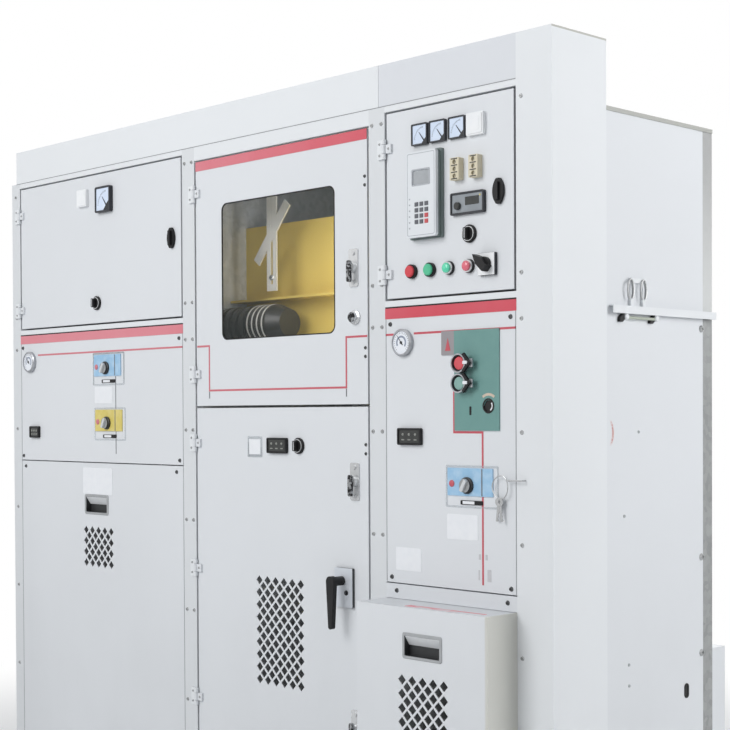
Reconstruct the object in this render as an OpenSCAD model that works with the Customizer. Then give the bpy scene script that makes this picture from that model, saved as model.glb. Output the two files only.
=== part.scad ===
// Ring main unit: a line of three medium-voltage cubicles, millimetres.
// Front faces -Y, height along +Z from the floor, origin at the middle of the footprint.

/* [Line-up] */
// Width from the left end strip to the end trim
line_w = 2090; // [1900:10:2300]
// Height from the floor to the top of the fascia
height = 2000; // [1800:10:2300]
// Depth of the cubicles behind the front plane
depth = 590; // [500:10:700]
// Right front corner to the middle of the right joint
right_w = 510; // [440:5:600]
// Middle of the right joint to the middle of the left joint
mid_w = 705; // [600:5:800]
// Height of the plinth channels
base_h = 90; // [70:5:110]
// Depth of a plinth channel
base_d = 60; // [50:5:80]
// Thickness of the plinth channels
base_t = 4; // [3:0.5:5]
// Top of the fascia down to the roof of the cubicles
roof_drop = 140; // [130:5:150]
// Thickness of the outer sheet steel
wall_t = 3; // [2:0.5:4]

/* [Front frame] */
// Width of the front leg of the end trim
trim_w = 96; // [80:2:110]
// Depth of the side leg of the end trim
trim_d = 183; // [160:1:200]
// Width of the strips over the joints
strip_w = 52; // [44:2:60]
// Width of the strip at the left end
end_strip_w = 44; // [36:2:56]
// Depth of the strips
strip_d = 25; // [22:1:30]
// Height of the fascia
fascia_h = 95; // [85:1:100]
// Free length at the left end of the fascia
fascia_end = 26; // [10:2:40]
// Seam of the fascia to the middle of the right joint
seam_in = 7; // [4:1:12]
// Leg of the rear corner posts
post_w = 38; // [30:1:45]

/* [Doors] */
// Sheet thickness of door leaves and covers
leaf_t = 2; // [1.5:0.5:2.5]
// Depth of the folded edge of a leaf
leaf_d = 20; // [16:1:21]
// Gap at the hinge side of a leaf
hinge_gap = 7; // [6:0.5:9]
// Gap at the free edges of a leaf
edge_gap = 6; // [5:0.5:8]
// Top of the fascia down to the control doors
control_drop = 115; // [112:1:125]
// Height of the control doors
control_h = 418; // [390:1:425]
// Top of the fascia down to the window door
window_drop = 137; // [120:1:150]
// Height of the window door
window_door_h = 634; // [580:1:680]
// Width of the window opening
window_w = 424; // [380:2:430]
// Height of the window opening
window_h = 348; // [300:2:380]
// Lower edge of the window door to the window opening
window_rise = 168; // [150:1:190]
// Radius of the window corners
window_r = 20; // [10:1:30]
// Thickness of the window pane
pane_t = 5; // [4:0.5:6]
// Lap of the pane behind the leaf
pane_lap = 18; // [12:1:22]
// Hinge pin in front of the front plane
pin_d = 6; // [5.5:0.5:7]
// Radius of the hinge pins
pin_r = 2.5; // [2:0.25:3]
// Radius of the hinge knuckles
knuckle_r = 5.5; // [5:0.25:6]
// Length of a hinge
hinge_l = 44; // [36:2:56]

/* [Panels] */
// Top of the fascia down to the mimic panels
mark_drop = 555; // [550:1:570]
// Height of the red marking strips
mark_h = 24; // [18:1:28]
// Height of the left mimic panel
left_panel_h = 372; // [330:1:400]
// Height of the right mimic panel
right_panel_h = 621; // [560:1:640]
// Height of the filler strip over the cable box
filler_h = 33; // [25:1:45]
// Joint between panels
joint_gap = 3; // [2:0.5:5]
// Reach of the right cable box from the front plane
box_d = 95; // [80:1:120]
// Height of the rear cable covers
rear_h = 562; // [500:1:620]
// Depth of the rear cable covers
rear_d = 80; // [60:1:100]
// Width of a finger pull
pull_w = 108; // [90:2:130]
// Height of a finger pull
pull_h = 48; // [40:1:56]
// Depth of a finger pull
pull_d = 17; // [12:1:18]

/* [Diamond vents] */
// Distance between diamonds of one row
vent_pitch = 31; // [28:1:34]
// Width across the points of a diamond
vent_w = 24; // [16:1:25]
// Columns of the left vent
left_cols = 5; // [3:1:7]
// Long rows of the left vent
left_rows = 4; // [2:1:6]
// Columns of the middle vent
mid_cols = 6; // [3:1:8]
// Long rows of the middle vent
mid_rows = 9; // [4:1:10]
// Columns of the right vent
right_cols = 5; // [3:1:7]
// Long rows of the right vent
right_rows = 6; // [3:1:8]

/* [Instruments] */
// Side of a square panel meter on the right door
meter_w = 48; // [40:1:50]
// Gap between neighbouring meters
meter_gap = 6; // [4:0.5:10]
// Side of the large meter on the left door
big_meter_w = 72; // [60:1:80]
// Width of the controller and of the relay
relay_w = 96; // [80:1:100]
// Height of the relay
relay_h = 195; // [170:1:205]
// Depth of the relay
relay_d = 24; // [18:1:40]
// Width of a voltage display
display_w = 72; // [60:1:80]
// Height of a voltage display
display_h = 38; // [30:1:44]
// Radius of the pressure gauges
gauge_r = 31; // [26:1:34]
// Width of an operating plate
plate_w = 130; // [110:1:140]
// Height of an operating plate
plate_h = 60; // [50:1:70]
// Width of the breaker plate
breaker_w = 128; // [110:1:140]
// Height of the breaker plate
breaker_h = 217; // [190:1:240]
// Radius of the ring round a breaker button
ring_r = 21; // [18:0.5:21]
// Thickness of the plates on the panels
plate_t = 3; // [2:0.5:4]

/* [Knobs and latches] */
// Radius of the selector knobs
knob_r = 14; // [10:0.5:16]
// Radius of the spindles of knobs and latches
spindle_r = 4; // [3:0.5:5]
// Free play around a spindle or pin
play = 0.4; // [0.3:0.05:0.6]
// Radius of the push buttons
button_r = 13; // [10:0.5:15]
// Width of a lens-shaped latch
latch_w = 30; // [24:1:36]
// Height of a lens-shaped latch
latch_h = 54; // [44:1:60]
// Width of a latch plate
hasp_w = 30; // [24:1:34]
// Height of a latch plate
hasp_h = 88; // [70:1:100]
// Length of the door lever below its pivot
lever_l = 105; // [80:1:120]
// Reach of the lever from the front plane
lever_out = 48; // [40:1:60]
// Height of the rail on the right wall
rail_h = 17; // [12:1:24]
// Reach of the rail from the wall
rail_out = 12; // [8:1:16]
// Radius of the anchor holes
anchor_r = 7; // [5:0.5:9]
// Anchor holes from the ends of the line
anchor_in = 120; // [80:5:160]

/* [Metering compartment] */
// Front plane to the insulating board
board_in = 195; // [160:1:220]
// Reach of the insulating board below the window and of its ledge
board_dip = 56; // [40:1:70]
// Thickness of the insulating board
board_t = 6; // [4:0.5:8]
// Radius of the ribs of the transformer
rib_r = 50; // [40:1:54]
// Length of the transformer
rib_l = 240; // [200:5:280]
// Width of the flat bar behind the window
bar_w = 38; // [30:1:45]

/* [Hidden] */
$fn = 48;
// Front plane, back and right front corner in the part's frame
yf = (box_d - depth - rear_d) / 2;
yb = yf + depth;
xr = (line_w - rail_out + wall_t) / 2;
// Levels
roof_z = height - roof_drop;
sill_z = height - fascia_h;
mark_z = height - mark_drop;
left_split = mark_z - left_panel_h;
right_split = mark_z - right_panel_h;
box_top = right_split - joint_gap - filler_h;
tray_z = mark_z + 1;
// Spans between the strips as [right, left] distances left of the right front corner
left_s = right_w + mid_w;
right_span = [trim_w, right_w - strip_w / 2];
mid_span = [right_w + strip_w / 2, left_s - strip_w / 2];
left_span = [left_s + strip_w / 2, line_w - end_strip_w];
// Leaves as [right, left] and [low, high]
right_leaf = [right_span[0] + edge_gap, right_span[1] - hinge_gap];
mid_leaf = [mid_span[0] + edge_gap, mid_span[1] - hinge_gap];
left_leaf = [left_span[0] + edge_gap, left_span[1] - hinge_gap];
control_z = [height - control_drop - control_h, height - control_drop];
window_z = [height - window_drop - window_door_h, height - window_drop];
tall_z = [base_h + hinge_gap, window_z[0] - edge_gap];
left_cover_z = [base_h, left_split - joint_gap];
box_z = [base_h, box_top - 1];
// Window opening, kept clear of the latches when the door is narrow
open_w = min(window_w, width(mid_leaf) - 4.5 * hinge_l - pane_lap);
open_s = at(mid_leaf, 0.497);
open_z = window_z[0] + window_rise;
// Rows of instruments on the right door
row_pitch = 0.144 * width(right_leaf);
meter_e = min(meter_w, row_pitch - meter_gap);
relay_e = min(relay_w, 0.256 * width(right_leaf));
pilot_z = up(control_z, 0.135);
lever_s = at(mid_leaf, 0.872);
lever_z = up(tall_z, 0.638);

function width(span) = span[1] - span[0];
// Place along a span, 0 at its left end and 1 at its right end
function at(span, f) = span[1] - f * width(span);
// Place up a span, 0 at its foot and 1 at its head
function up(span, f) = span[0] + f * width(span);

// Box from distances left of the corner, depths behind the front plane and heights
module slab(s, d, z) {
  translate([xr - s[1], yf + d[0], z[0]])
    cube([s[1] - s[0], d[1] - d[0], z[1] - z[0]]);
}

// Things turned to face the front, at a place on the front and a depth
module facing(s, z, d) {
  translate([xr - s, yf + d, z])
    rotate([90, 0, 0])
      children();
}

// Sheet pan with its folded edge turned to the back
module pan(s, d, z) {
  difference() {
    slab(s, d, z);
    slab([s[0] + leaf_t, s[1] - leaf_t], [d[0] + leaf_t, d[1] + 1], [z[0] + leaf_t, z[1] - leaf_t]);
  }
}

// Flat shape with rounded corners
module rounded(w, h, r) {
  square([w - 2 * r, h], center = true);
  square([w, h - 2 * r], center = true);
  for (i = [-1, 1])
    for (j = [-1, 1])
      translate([i * (w / 2 - r), j * (h / 2 - r)])
        circle(r = r);
}

// Plate with rounded corners that faces the front, from its back depth towards the viewer
module plate(s, z, d, w, h, t, r) {
  facing(s, z, d)
    linear_extrude(t)
      rounded(w, h, r);
}

// Panel instrument with a raised rim round a sunk face
module bezel(s, z, w, h, t, rim) {
  difference() {
    plate(s, z, 0, w, h, t, rim);
    plate(s, z, -t + 2.5, w - 2 * rim, h - 2 * rim, t, 0.5);
  }
}

// Diamond holes, long rows with shorter rows between them, from the top row down
module diamonds(s, z, cols, rows, d) {
  for (row = [0 : 2 * rows - 2]) {
    n = cols - row % 2;
    for (i = [0 : n - 1])
      translate([(i - (n - 1) / 2) * vent_pitch, 0, -row * vent_pitch / 2])
        facing(s, z, d + leaf_t + 1)
          cylinder(h = leaf_t + 2, r = vent_w / 2, $fn = 4);
  }
}

// Round hole through a front sheet for a spindle
module spindle_hole(s, z) {
  facing(s, z, leaf_t + 1)
    cylinder(h = leaf_t + 2, r = spindle_r + play);
}

// Spindle that reaches behind the sheet, with a collar that keeps it there
module spindle(s, z, out) {
  facing(s, z, leaf_t + 8)
    cylinder(h = leaf_t + 8 + out, r = spindle_r);
  facing(s, z, leaf_t + 8)
    cylinder(h = 6, r = spindle_r + 3);
}

// Plinth of folded channels, with anchor holes in the lower flanges
module channel(d, web) {
  difference() {
    slab([20, line_w - 20], d, [0, base_h]);
    slab([19, line_w - 19], [d[0] + (web < 0 ? base_t : -1), d[1] + (web < 0 ? 1 : -base_t)],
      [base_t, base_h - base_t]);
    for (s = [anchor_in, line_w - anchor_in])
      translate([xr - s, yf + (d[0] + d[1]) / 2, -1])
        cylinder(h = base_t + 2, r = anchor_r);
  }
}
module base_frame() {
  front = [15, 15 + base_d];
  rear = [depth - 10 - base_d, depth - 10];
  color("dimgray") {
    channel(front, -1);
    channel(rear, 1);
    for (s = [20, line_w - 20 - base_t])
      slab([s, s + base_t], [front[0], rear[1]], [0, base_h]);
    for (s = [right_w, left_s])
      slab([s - base_d / 2, s + base_d / 2], [front[1], rear[0]], [base_h - base_t, base_h]);
  }
}

// Sheet shell standing on the plinth
module floor_plates() {
  color("silver")
    for (s = [[2 * wall_t, right_w - wall_t / 2], [right_w + wall_t / 2, left_s - wall_t / 2],
        [left_s + wall_t / 2, line_w - wall_t]])
      slab(s, [strip_d, depth - wall_t], [base_h, base_h + wall_t]);
}
// Wall with a higher front part beside the wiring duct
module wall(s, rear) {
  slab([s, s + wall_t], [strip_d, rear], [base_h, roof_z - wall_t]);
  slab([s, s + wall_t], [strip_d, trim_d], [roof_z - wall_t, sill_z]);
}
module left_end_wall() {
  color("gainsboro")
    wall(line_w - wall_t, depth - post_w);
}
module partitions() {
  color("gainsboro")
    for (s = [right_w, left_s])
      wall(s - wall_t / 2, depth - wall_t);
}
module right_end_wall() {
  color("gainsboro")
    slab([wall_t, 2 * wall_t], [wall_t, depth - post_w], [base_h, roof_z - wall_t]);
}
// Angle posts at the two rear corners
module rear_posts() {
  z = [base_h, roof_z - wall_t];
  color("darkgray") {
    slab([wall_t, 2 * wall_t], [depth - post_w, depth], z);
    slab([2 * wall_t, wall_t + post_w], [depth - wall_t, depth], z);
    slab([line_w - wall_t, line_w], [depth - post_w, depth], z);
    slab([line_w - post_w, line_w - wall_t], [depth - wall_t, depth], z);
  }
}
module back_panels() {
  color("gainsboro")
    for (s = [[wall_t + post_w, right_w - 1], [right_w + 1, left_s - 1], [left_s + 1, line_w - post_w]])
      slab(s, [depth - wall_t, depth], [base_h, roof_z - wall_t]);
}
// Pans that give the cables room at the back
module rear_cable_covers() {
  z = [base_h, base_h + rear_h];
  color("gainsboro")
    for (s = [[20, right_w - 5], [right_w + 5, left_s - 5], [left_s + 5, line_w - 20]])
      difference() {
        slab(s, [depth, depth + rear_d], z);
        slab([s[0] + leaf_t, s[1] - leaf_t], [depth - 1, depth + rear_d - leaf_t],
          [z[0] + leaf_t, z[1] - leaf_t]);
      }
}
// Roof sheets with a turned-down lip at the right end, and an upstand under the duct
module roof_panels() {
  color("gainsboro") {
    slab([1, right_w - 1], [trim_d, depth], [roof_z - wall_t, roof_z]);
    slab([1, wall_t], [trim_d, depth], [roof_z - 3 * wall_t, roof_z - wall_t]);
    slab([right_w + 1, left_s - 1], [trim_d, depth], [roof_z - wall_t, roof_z]);
    slab([right_w + wall_t, left_s - wall_t], [trim_d - wall_t, trim_d], [roof_z - wall_t, sill_z]);
    slab([left_s + 1, line_w], [trim_d, depth], [roof_z - wall_t, roof_z]);
  }
}
// Closed wiring duct behind the fascia, along all three cubicles
module wireway_box() {
  s = [wall_t, line_w - fascia_end];
  color("gainsboro")
    difference() {
      slab(s, [wall_t, trim_d], [sill_z, height]);
      slab([s[0] + wall_t, s[1] - wall_t], [2 * wall_t, trim_d - wall_t],
        [sill_z + wall_t, height - wall_t]);
    }
}

// Folded strips over the joints between the cubicles and at the left end
module strip(s) {
  difference() {
    slab(s, [0, strip_d], [base_h, sill_z]);
    slab([s[0] + leaf_t, s[1] - leaf_t], [leaf_t, strip_d + 1], [base_h - 1, sill_z + 1]);
  }
}
module joint_strips() {
  color("gainsboro")
    for (s = [[right_span[1], mid_span[0]], [mid_span[1], left_span[0]], [left_span[1], line_w]])
      strip(s);
}
// Fascia in two lengths, butted at a seam
module fascia_panels() {
  seam = right_w - seam_in;
  color("whitesmoke") {
    slab([seam + 1, line_w - fascia_end], [0, wall_t], [sill_z, height]);
    slab([trim_w, seam], [0, wall_t], [sill_z, height]);
  }
}
// Full-height angle that closes the right end of the front
module end_trim() {
  color("whitesmoke")
    difference() {
      slab([0, trim_w], [0, trim_d], [base_h, height]);
      slab([wall_t, trim_w + 1], [wall_t, trim_d + 1], [base_h - 1, height + 1]);
    }
}
// Folded rails above and below the control doors, header over the window door
module rail(s, z) {
  difference() {
    slab(s, [0, leaf_d], z);
    slab([s[0] - 1, s[1] + 1], [leaf_t, leaf_d + 1], [z[0] + leaf_t, z[1] - leaf_t]);
  }
}
module door_rails() {
  color("gainsboro") {
    for (s = [right_span, left_span]) {
      rail(s, [control_z[1] + edge_gap - 1, sill_z]);
      rail(s, [tray_z, control_z[0] - edge_gap + 1]);
    }
    rail(mid_span, [window_z[1] + edge_gap - 1, sill_z]);
  }
}
// Floor and back of the two control compartments
module control_trays() {
  color("gainsboro")
    for (s = [[2 * wall_t, right_w - wall_t / 2], [left_s + wall_t / 2, line_w - wall_t]]) {
      slab(s, [strip_d, trim_d - wall_t - 0.5], [tray_z, tray_z + wall_t]);
      slab(s, [trim_d - wall_t, trim_d], [tray_z, sill_z]);
    }
}

// Fixed front panels
module left_mimic_panel() {
  color("whitesmoke")
    pan(left_span, [0, leaf_d], [left_split, mark_z]);
}
module right_mimic_panel() {
  color("whitesmoke") {
    pan(right_span, [0, leaf_d], [right_split, mark_z]);
    slab(right_span, [0, leaf_d], [box_top, right_split - joint_gap]);
  }
}
// Lift-off cover with a vent and a finger pull
module left_cable_cover() {
  color("whitesmoke")
    difference() {
      pan(left_span, [0, leaf_d], left_cover_z);
      diamonds(at(left_span, 0.503), left_cover_z[1] - 8 * pull_h / 2, left_cols, left_rows, 0);
      pull_hole(at(left_span, 0.494), left_cover_z[1] - 2.46 * pull_h, 0);
    }
}
// Lift-off cable box that stands out of the front
module right_cable_box() {
  color("whitesmoke")
    difference() {
      pan(right_span, [-box_d, leaf_d], box_z);
      diamonds(at(right_span, 0.523), box_z[1] - 3.3 * pull_h, right_cols, right_rows, -box_d);
      pull_hole(at(right_span, 0.521), box_z[1] - 1.72 * pull_h, -box_d);
    }
}
// Recessed finger pulls let into the two covers
module pull_hole(s, z, d) {
  plate(s, z, d + leaf_t + 1, pull_w, pull_h, leaf_t + 2, 4);
}
module cup(s, z, d) {
  difference() {
    plate(s, z, d + pull_d, pull_w, pull_h, pull_d, 4);
    plate(s, z, d + pull_d - leaf_t, pull_w - 2 * leaf_t, pull_h - 2 * leaf_t, pull_d, 3);
  }
}
module pull_cups() {
  color("dimgray") {
    cup(at(left_span, 0.494), left_cover_z[1] - 2.46 * pull_h, 0);
    cup(at(right_span, 0.521), box_z[1] - 1.72 * pull_h, -box_d);
  }
}
module marking_strips() {
  color("indianred")
    for (s = [left_span, right_span])
      slab(s, [-1, 0], [mark_z - mark_h, mark_z]);
}
// Round pressure gauges with a raised rim
module gas_gauges() {
  color("silver")
    for (s = [left_span[1] - 1.75 * gauge_r, right_span[1] - 1.87 * gauge_r])
      facing(s, mark_z - 2.55 * gauge_r, 0)
        rotate_extrude()
          polygon([[0, 0], [gauge_r, 0], [gauge_r, 8], [gauge_r - 3, 11], [gauge_r - 5, 11],
            [gauge_r - 5, 8], [0, 8]]);
}
// Printed operating plates with their turning knobs
plates = [[at(left_span, 0.568), mark_z - 1.65 * plate_h], [at(left_span, 0.574), mark_z - 4.23 * plate_h],
  [at(right_span, 0.665), mark_z - 6.45 * plate_h]];
module operating_plates() {
  color("lightsteelblue")
    for (p = plates)
      slab([p[0] - plate_w / 2, p[0] + plate_w / 2], [-plate_t, 0], [p[1] - plate_h / 2, p[1] + plate_h / 2]);
}
module operating_knobs() {
  color("lightgray")
    for (p = plates)
      facing(p[0] + 0.055 * plate_w, p[1] - 0.12 * plate_h, -plate_t) {
        rotate_extrude()
          polygon([[0, 0], [18, 0], [18, 4], [15, 6], [15, 10], [0, 10]]);
        rotate([0, 0, -30])
          translate([-4, -14, 10])
            cube([8, 28, 6]);
      }
}
// Breaker plate with its two ringed buttons and a hole for the crank
breaker_s = at(right_span, 0.717);
breaker_z = mark_z - mark_h - 0.66 * breaker_h;
module breaker_plate() {
  left = breaker_s + breaker_w / 2;
  head = breaker_z + breaker_h / 2;
  color("cadetblue")
    difference() {
      union() {
        slab([breaker_s - breaker_w / 2, left], [-plate_t, 0], [head - breaker_h, head]);
        slab([breaker_s, left + 0.3 * breaker_w], [-plate_t, 0], [head - 0.24 * breaker_h, head]);
      }
      facing(breaker_s - 0.27 * breaker_w, breaker_z - 0.26 * breaker_h, 1)
        cylinder(h = plate_t + 2, r = 13);
    }
}
module breaker_buttons() {
  s = breaker_s + breaker_w / 2 - ring_r - 3;
  color("gray")
    for (z = [breaker_z + 0.17 * breaker_h, breaker_z - 0.03 * breaker_h]) {
      facing(s, z, -plate_t)
        rotate_extrude()
          polygon([[0, 0], [ring_r, 0], [ring_r, 16], [ring_r - 3, 16], [ring_r - 3, 4], [14, 4],
            [14, 11], [12, 12], [0, 12]]);
      slab([s - ring_r - 20, s - ring_r + 2], [-plate_t - 14, -plate_t - 11], [z - 9, z + 9]);
    }
}
module panel_displays() {
  color("black") {
    bezel(at(right_span, 0.206), mark_z - 7.63 * display_h, display_w, display_h, 9, 4);
    bezel(at(left_span, 0.1), mark_z - 7.58 * display_h, 0.67 * display_w, 0.9 * display_h, 9, 4);
  }
}
// Cable rail along the right wall, with a hook over it
module side_rail() {
  z = mark_z - rail_h - 8;
  hook = depth / 2 - 30;
  color("gainsboro") {
    difference() {
      slab([wall_t - rail_out, wall_t], [trim_d + 12, depth], [z, z + rail_h]);
      slab([wall_t - rail_out + 2, wall_t + 1], [trim_d + 11, depth + 1], [z - 1, z + rail_h - 2]);
    }
    for (d = [hook, hook + 2.6 * rail_h])
      slab([wall_t - rail_out / 2, wall_t], [d, d + 0.7 * rail_h], [z + rail_h, z + 4.6 * rail_h]);
    slab([wall_t - rail_out / 2, wall_t], [hook, hook + 3.3 * rail_h], [z + 4 * rail_h, z + 4.6 * rail_h]);
  }
}

// Metering compartment behind the window: insulating board with a ledge, flat bars, shelf and a
// ribbed cast-resin transformer lying on the shelf
chamber = [right_w + wall_t / 2, left_s - wall_t / 2];
shelf_z = open_z - board_t;
ledge_z = open_z + 0.31 * window_h;
module barrier_board() {
  color("khaki") {
    slab(chamber, [board_in, board_in + board_t], [open_z - board_dip, open_z + 0.9 * window_h]);
    slab(chamber, [board_in - board_dip, board_in], [ledge_z, ledge_z + board_t]);
  }
}
module stay_bars() {
  s = at(chamber, 0.275);
  color("silver") {
    difference() {
      slab([s - bar_w / 2, s + bar_w / 2], [120, 124], [open_z + 0.37 * window_h, sill_z]);
      slab([s - 4, s + 4], [119, 125], [open_z + 0.42 * window_h, open_z + 0.86 * window_h]);
    }
    facing(s, open_z + 0.8 * window_h, 124)
      rotate([0, 0, 50])
        linear_extrude(4)
          square([5 * bar_w, 0.7 * bar_w], center = true);
  }
}
module transformer_shelf() {
  color("silver")
    slab(chamber, [board_in - 2.7 * rib_r, board_in], [shelf_z - wall_t, shelf_z]);
}
module instrument_transformer() {
  pitch = rib_l / 8;
  color("black")
    translate([xr - chamber[1] + 12, yf + board_in - 1.3 * rib_r, shelf_z + rib_r])
      rotate([0, 90, 0])
        rotate_extrude()
          polygon(concat([[0, 0]],
            [for (i = [0 : 3]) each [[rib_r, i * pitch], [rib_r, i * pitch + 0.55 * pitch],
              [0.76 * rib_r, i * pitch + 0.65 * pitch], [0.76 * rib_r, (i + 0.9) * pitch]]],
            [[rib_r, 4 * pitch], [rib_r, 6.6 * pitch], [0.72 * rib_r, rib_l], [0, rib_l]]));
}

// Butt hinges over the gap at the left edge of each leaf: fixed knuckles with the pin, and the
// moving knuckle of the leaf between them
control_hinges = [up(control_z, 0.13), up(control_z, 0.81)];
window_hinges = [up(window_z, 0.13), up(window_z, 0.87)];
tall_hinges = [for (f = [0.08, 0.33, 0.63, 0.92]) up(tall_z, f)];
module hinge_fixed(s, z) {
  knuckle_l = hinge_l / 4;
  color("gainsboro") {
    translate([xr - s, yf - pin_d, z - hinge_l / 2])
      cylinder(h = hinge_l, r = pin_r);
    for (k = [-1, 1]) {
      foot = z + (1.5 * k - 0.5) * knuckle_l;
      translate([xr - s, yf - pin_d, foot])
        cylinder(h = knuckle_l, r = knuckle_r);
      slab([s, s + hinge_l / 2], [-pin_d, 2.5 - pin_d], [foot, foot + knuckle_l]);
    }
    slab([s + knuckle_r + 0.5, s + hinge_l / 2], [-pin_d, 0], [z - hinge_l / 2, z + hinge_l / 2]);
  }
}
module hinge_moving(s, z) {
  half = hinge_l / 4 - 1;
  difference() {
    union() {
      translate([xr - s, yf - pin_d, z - half])
        cylinder(h = 2 * half, r = knuckle_r);
      slab([s - hinge_l / 2, s], [-pin_d, 2.5 - pin_d], [z - half, z + half]);
      slab([s - hinge_l / 2, s - knuckle_r - 0.5], [-pin_d, 0], [z - half, z + half]);
    }
    translate([xr - s, yf - pin_d, z - half - 1])
      cylinder(h = 2 * half + 2, r = pin_r + play);
  }
}
module hinge_pins() {
  for (z = control_hinges)
    for (leaf = [left_leaf, right_leaf])
      hinge_fixed(leaf[1] + hinge_gap / 2, z);
  for (z = concat(window_hinges, tall_hinges))
    hinge_fixed(mid_leaf[1] + hinge_gap / 2, z);
}

// Lens-shaped quarter-turn latch
module lens(r) {
  intersection() {
    translate([r - latch_w / 2, 0])
      circle(r = r);
    translate([latch_w / 2 - r, 0])
      circle(r = r);
    square([latch_w, latch_h], center = true);
  }
}
module lens_latch(s, z) {
  spindle(s, z, 1);
  facing(s, z, -1) {
    linear_extrude(6)
      lens(0.75 * latch_h);
    translate([0, 0, 6])
      linear_extrude(6)
        square([0.3 * latch_w, 0.7 * latch_h], center = true);
  }
}
// Selector knob with a finger grip
module selector(s, z) {
  spindle(s, z, 1);
  facing(s, z, -1) {
    rotate_extrude()
      polygon([[0, 0], [knob_r, 0], [knob_r, 5], [knob_r - 2, 7], [0, 7]]);
    translate([0, 0, 7])
      linear_extrude(11)
        rounded(9, 2 * knob_r - 3, 3);
  }
}
// Latch plate with a lock barrel and a pull
module hasp(s, z) {
  plate(s, z, 0, hasp_w, hasp_h, 3, 5);
  facing(s, z, -3)
    cylinder(h = 10, r = 0.4 * hasp_w);
  plate(s, z - 0.1 * hasp_h, -12, 0.4 * hasp_w, 0.57 * hasp_h, 8, 5);
  for (k = [-1, 1])
    facing(s, z + 0.38 * k * hasp_h, -3)
      cylinder(h = 3, r = 5);
}

// Left control door with its instruments
left_latch_at = [at(left_leaf, 0.952), up(control_z, 0.5)];
left_selector_at = [at(left_leaf, 0.506), up(control_z, 0.134)];
module left_control_door() {
  color("whitesmoke") {
    difference() {
      pan(left_leaf, [0, leaf_d], control_z);
      spindle_hole(left_latch_at[0], left_latch_at[1]);
      spindle_hole(left_selector_at[0], left_selector_at[1]);
    }
    for (z = control_hinges)
      hinge_moving(left_leaf[1] + hinge_gap / 2, z);
  }
}
module left_door_meters() {
  color("black") {
    plate(at(left_leaf, 0.428), up(control_z, 0.855), 0, 48, 48, 10, 4);
    bezel(at(left_leaf, 0.562), up(control_z, 0.823), big_meter_w, big_meter_w, 12, 5);
  }
}
module left_latch() {
  color("black")
    lens_latch(left_latch_at[0], left_latch_at[1]);
}
module left_selector() {
  color("black")
    selector(left_selector_at[0], left_selector_at[1]);
}

// Window door over the metering compartment
module window_door() {
  color("whitesmoke") {
    difference() {
      pan(mid_leaf, [0, leaf_d], window_z);
      plate(open_s, open_z + window_h / 2, leaf_t + 1, open_w, window_h, leaf_t + 2, window_r);
    }
    for (z = window_hinges)
      hinge_moving(mid_leaf[1] + hinge_gap / 2, z);
  }
}
module window_pane() {
  w = open_w / 2 + pane_lap;
  color("lightcyan")
    slab([open_s - w, open_s + w], [leaf_t, leaf_t + pane_t],
      [open_z - pane_lap, open_z + window_h + pane_lap]);
}
module window_strip() {
  color("indianred")
    slab(mid_leaf, [-1, 0], [window_z[1] - mark_h, window_z[1]]);
}
module window_hasp() {
  s = at(mid_leaf, 0.93);
  color("silver") {
    hasp(s, up(window_z, 0.5));
    facing(s - 4, up(window_z, 0.318), 0)
      rotate_extrude()
        polygon([[0, 0], [17, 0], [17, 4], [12, 6], [12, 14], [10, 16], [0, 16]]);
  }
}

// Tall door of the metering compartment, with its vent and swing lever
metering_selector_at = [at(mid_leaf, 0.625), up(tall_z, 0.917)];
module metering_door() {
  color("whitesmoke") {
    difference() {
      pan(mid_leaf, [0, leaf_d], tall_z);
      diamonds(at(mid_leaf, 0.508), up(tall_z, 0.618), mid_cols, mid_rows, 0);
      spindle_hole(metering_selector_at[0], metering_selector_at[1]);
      spindle_hole(lever_s, lever_z);
    }
    for (z = tall_hinges)
      hinge_moving(mid_leaf[1] + hinge_gap / 2, z);
  }
}
module metering_display() {
  color("black")
    bezel(at(mid_leaf, 0.506), up(tall_z, 0.917), display_w, display_h, 9, 4);
}
module metering_hasps() {
  color("silver")
    for (f = [0.845, 0.332])
      hasp(at(mid_leaf, 0.932), up(tall_z, f));
}
module metering_selector() {
  color("black")
    selector(metering_selector_at[0], metering_selector_at[1]);
}
module lever_plate() {
  color("silver")
    difference() {
      plate(lever_s - 4, lever_z - 16, 0, 60, 92, 8, 2);
      facing(lever_s, lever_z, 1)
        cylinder(h = 10, r = spindle_r + play);
      facing(lever_s - 14, lever_z - 28, 1)
        cylinder(h = 10, r = 3.5);
    }
}
module lever_handle() {
  color("black") {
    spindle(lever_s, lever_z, 10);
    facing(lever_s, lever_z, -9)
      cylinder(h = lever_out - 15, r = 11);
    facing(lever_s, lever_z, 12 - lever_out)
      linear_extrude(12) {
        circle(r = 13);
        translate([0, -lever_l])
          circle(r = 6);
        polygon([[-13, 0], [13, 0], [6, -lever_l], [-6, -lever_l]]);
      }
  }
}

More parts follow.
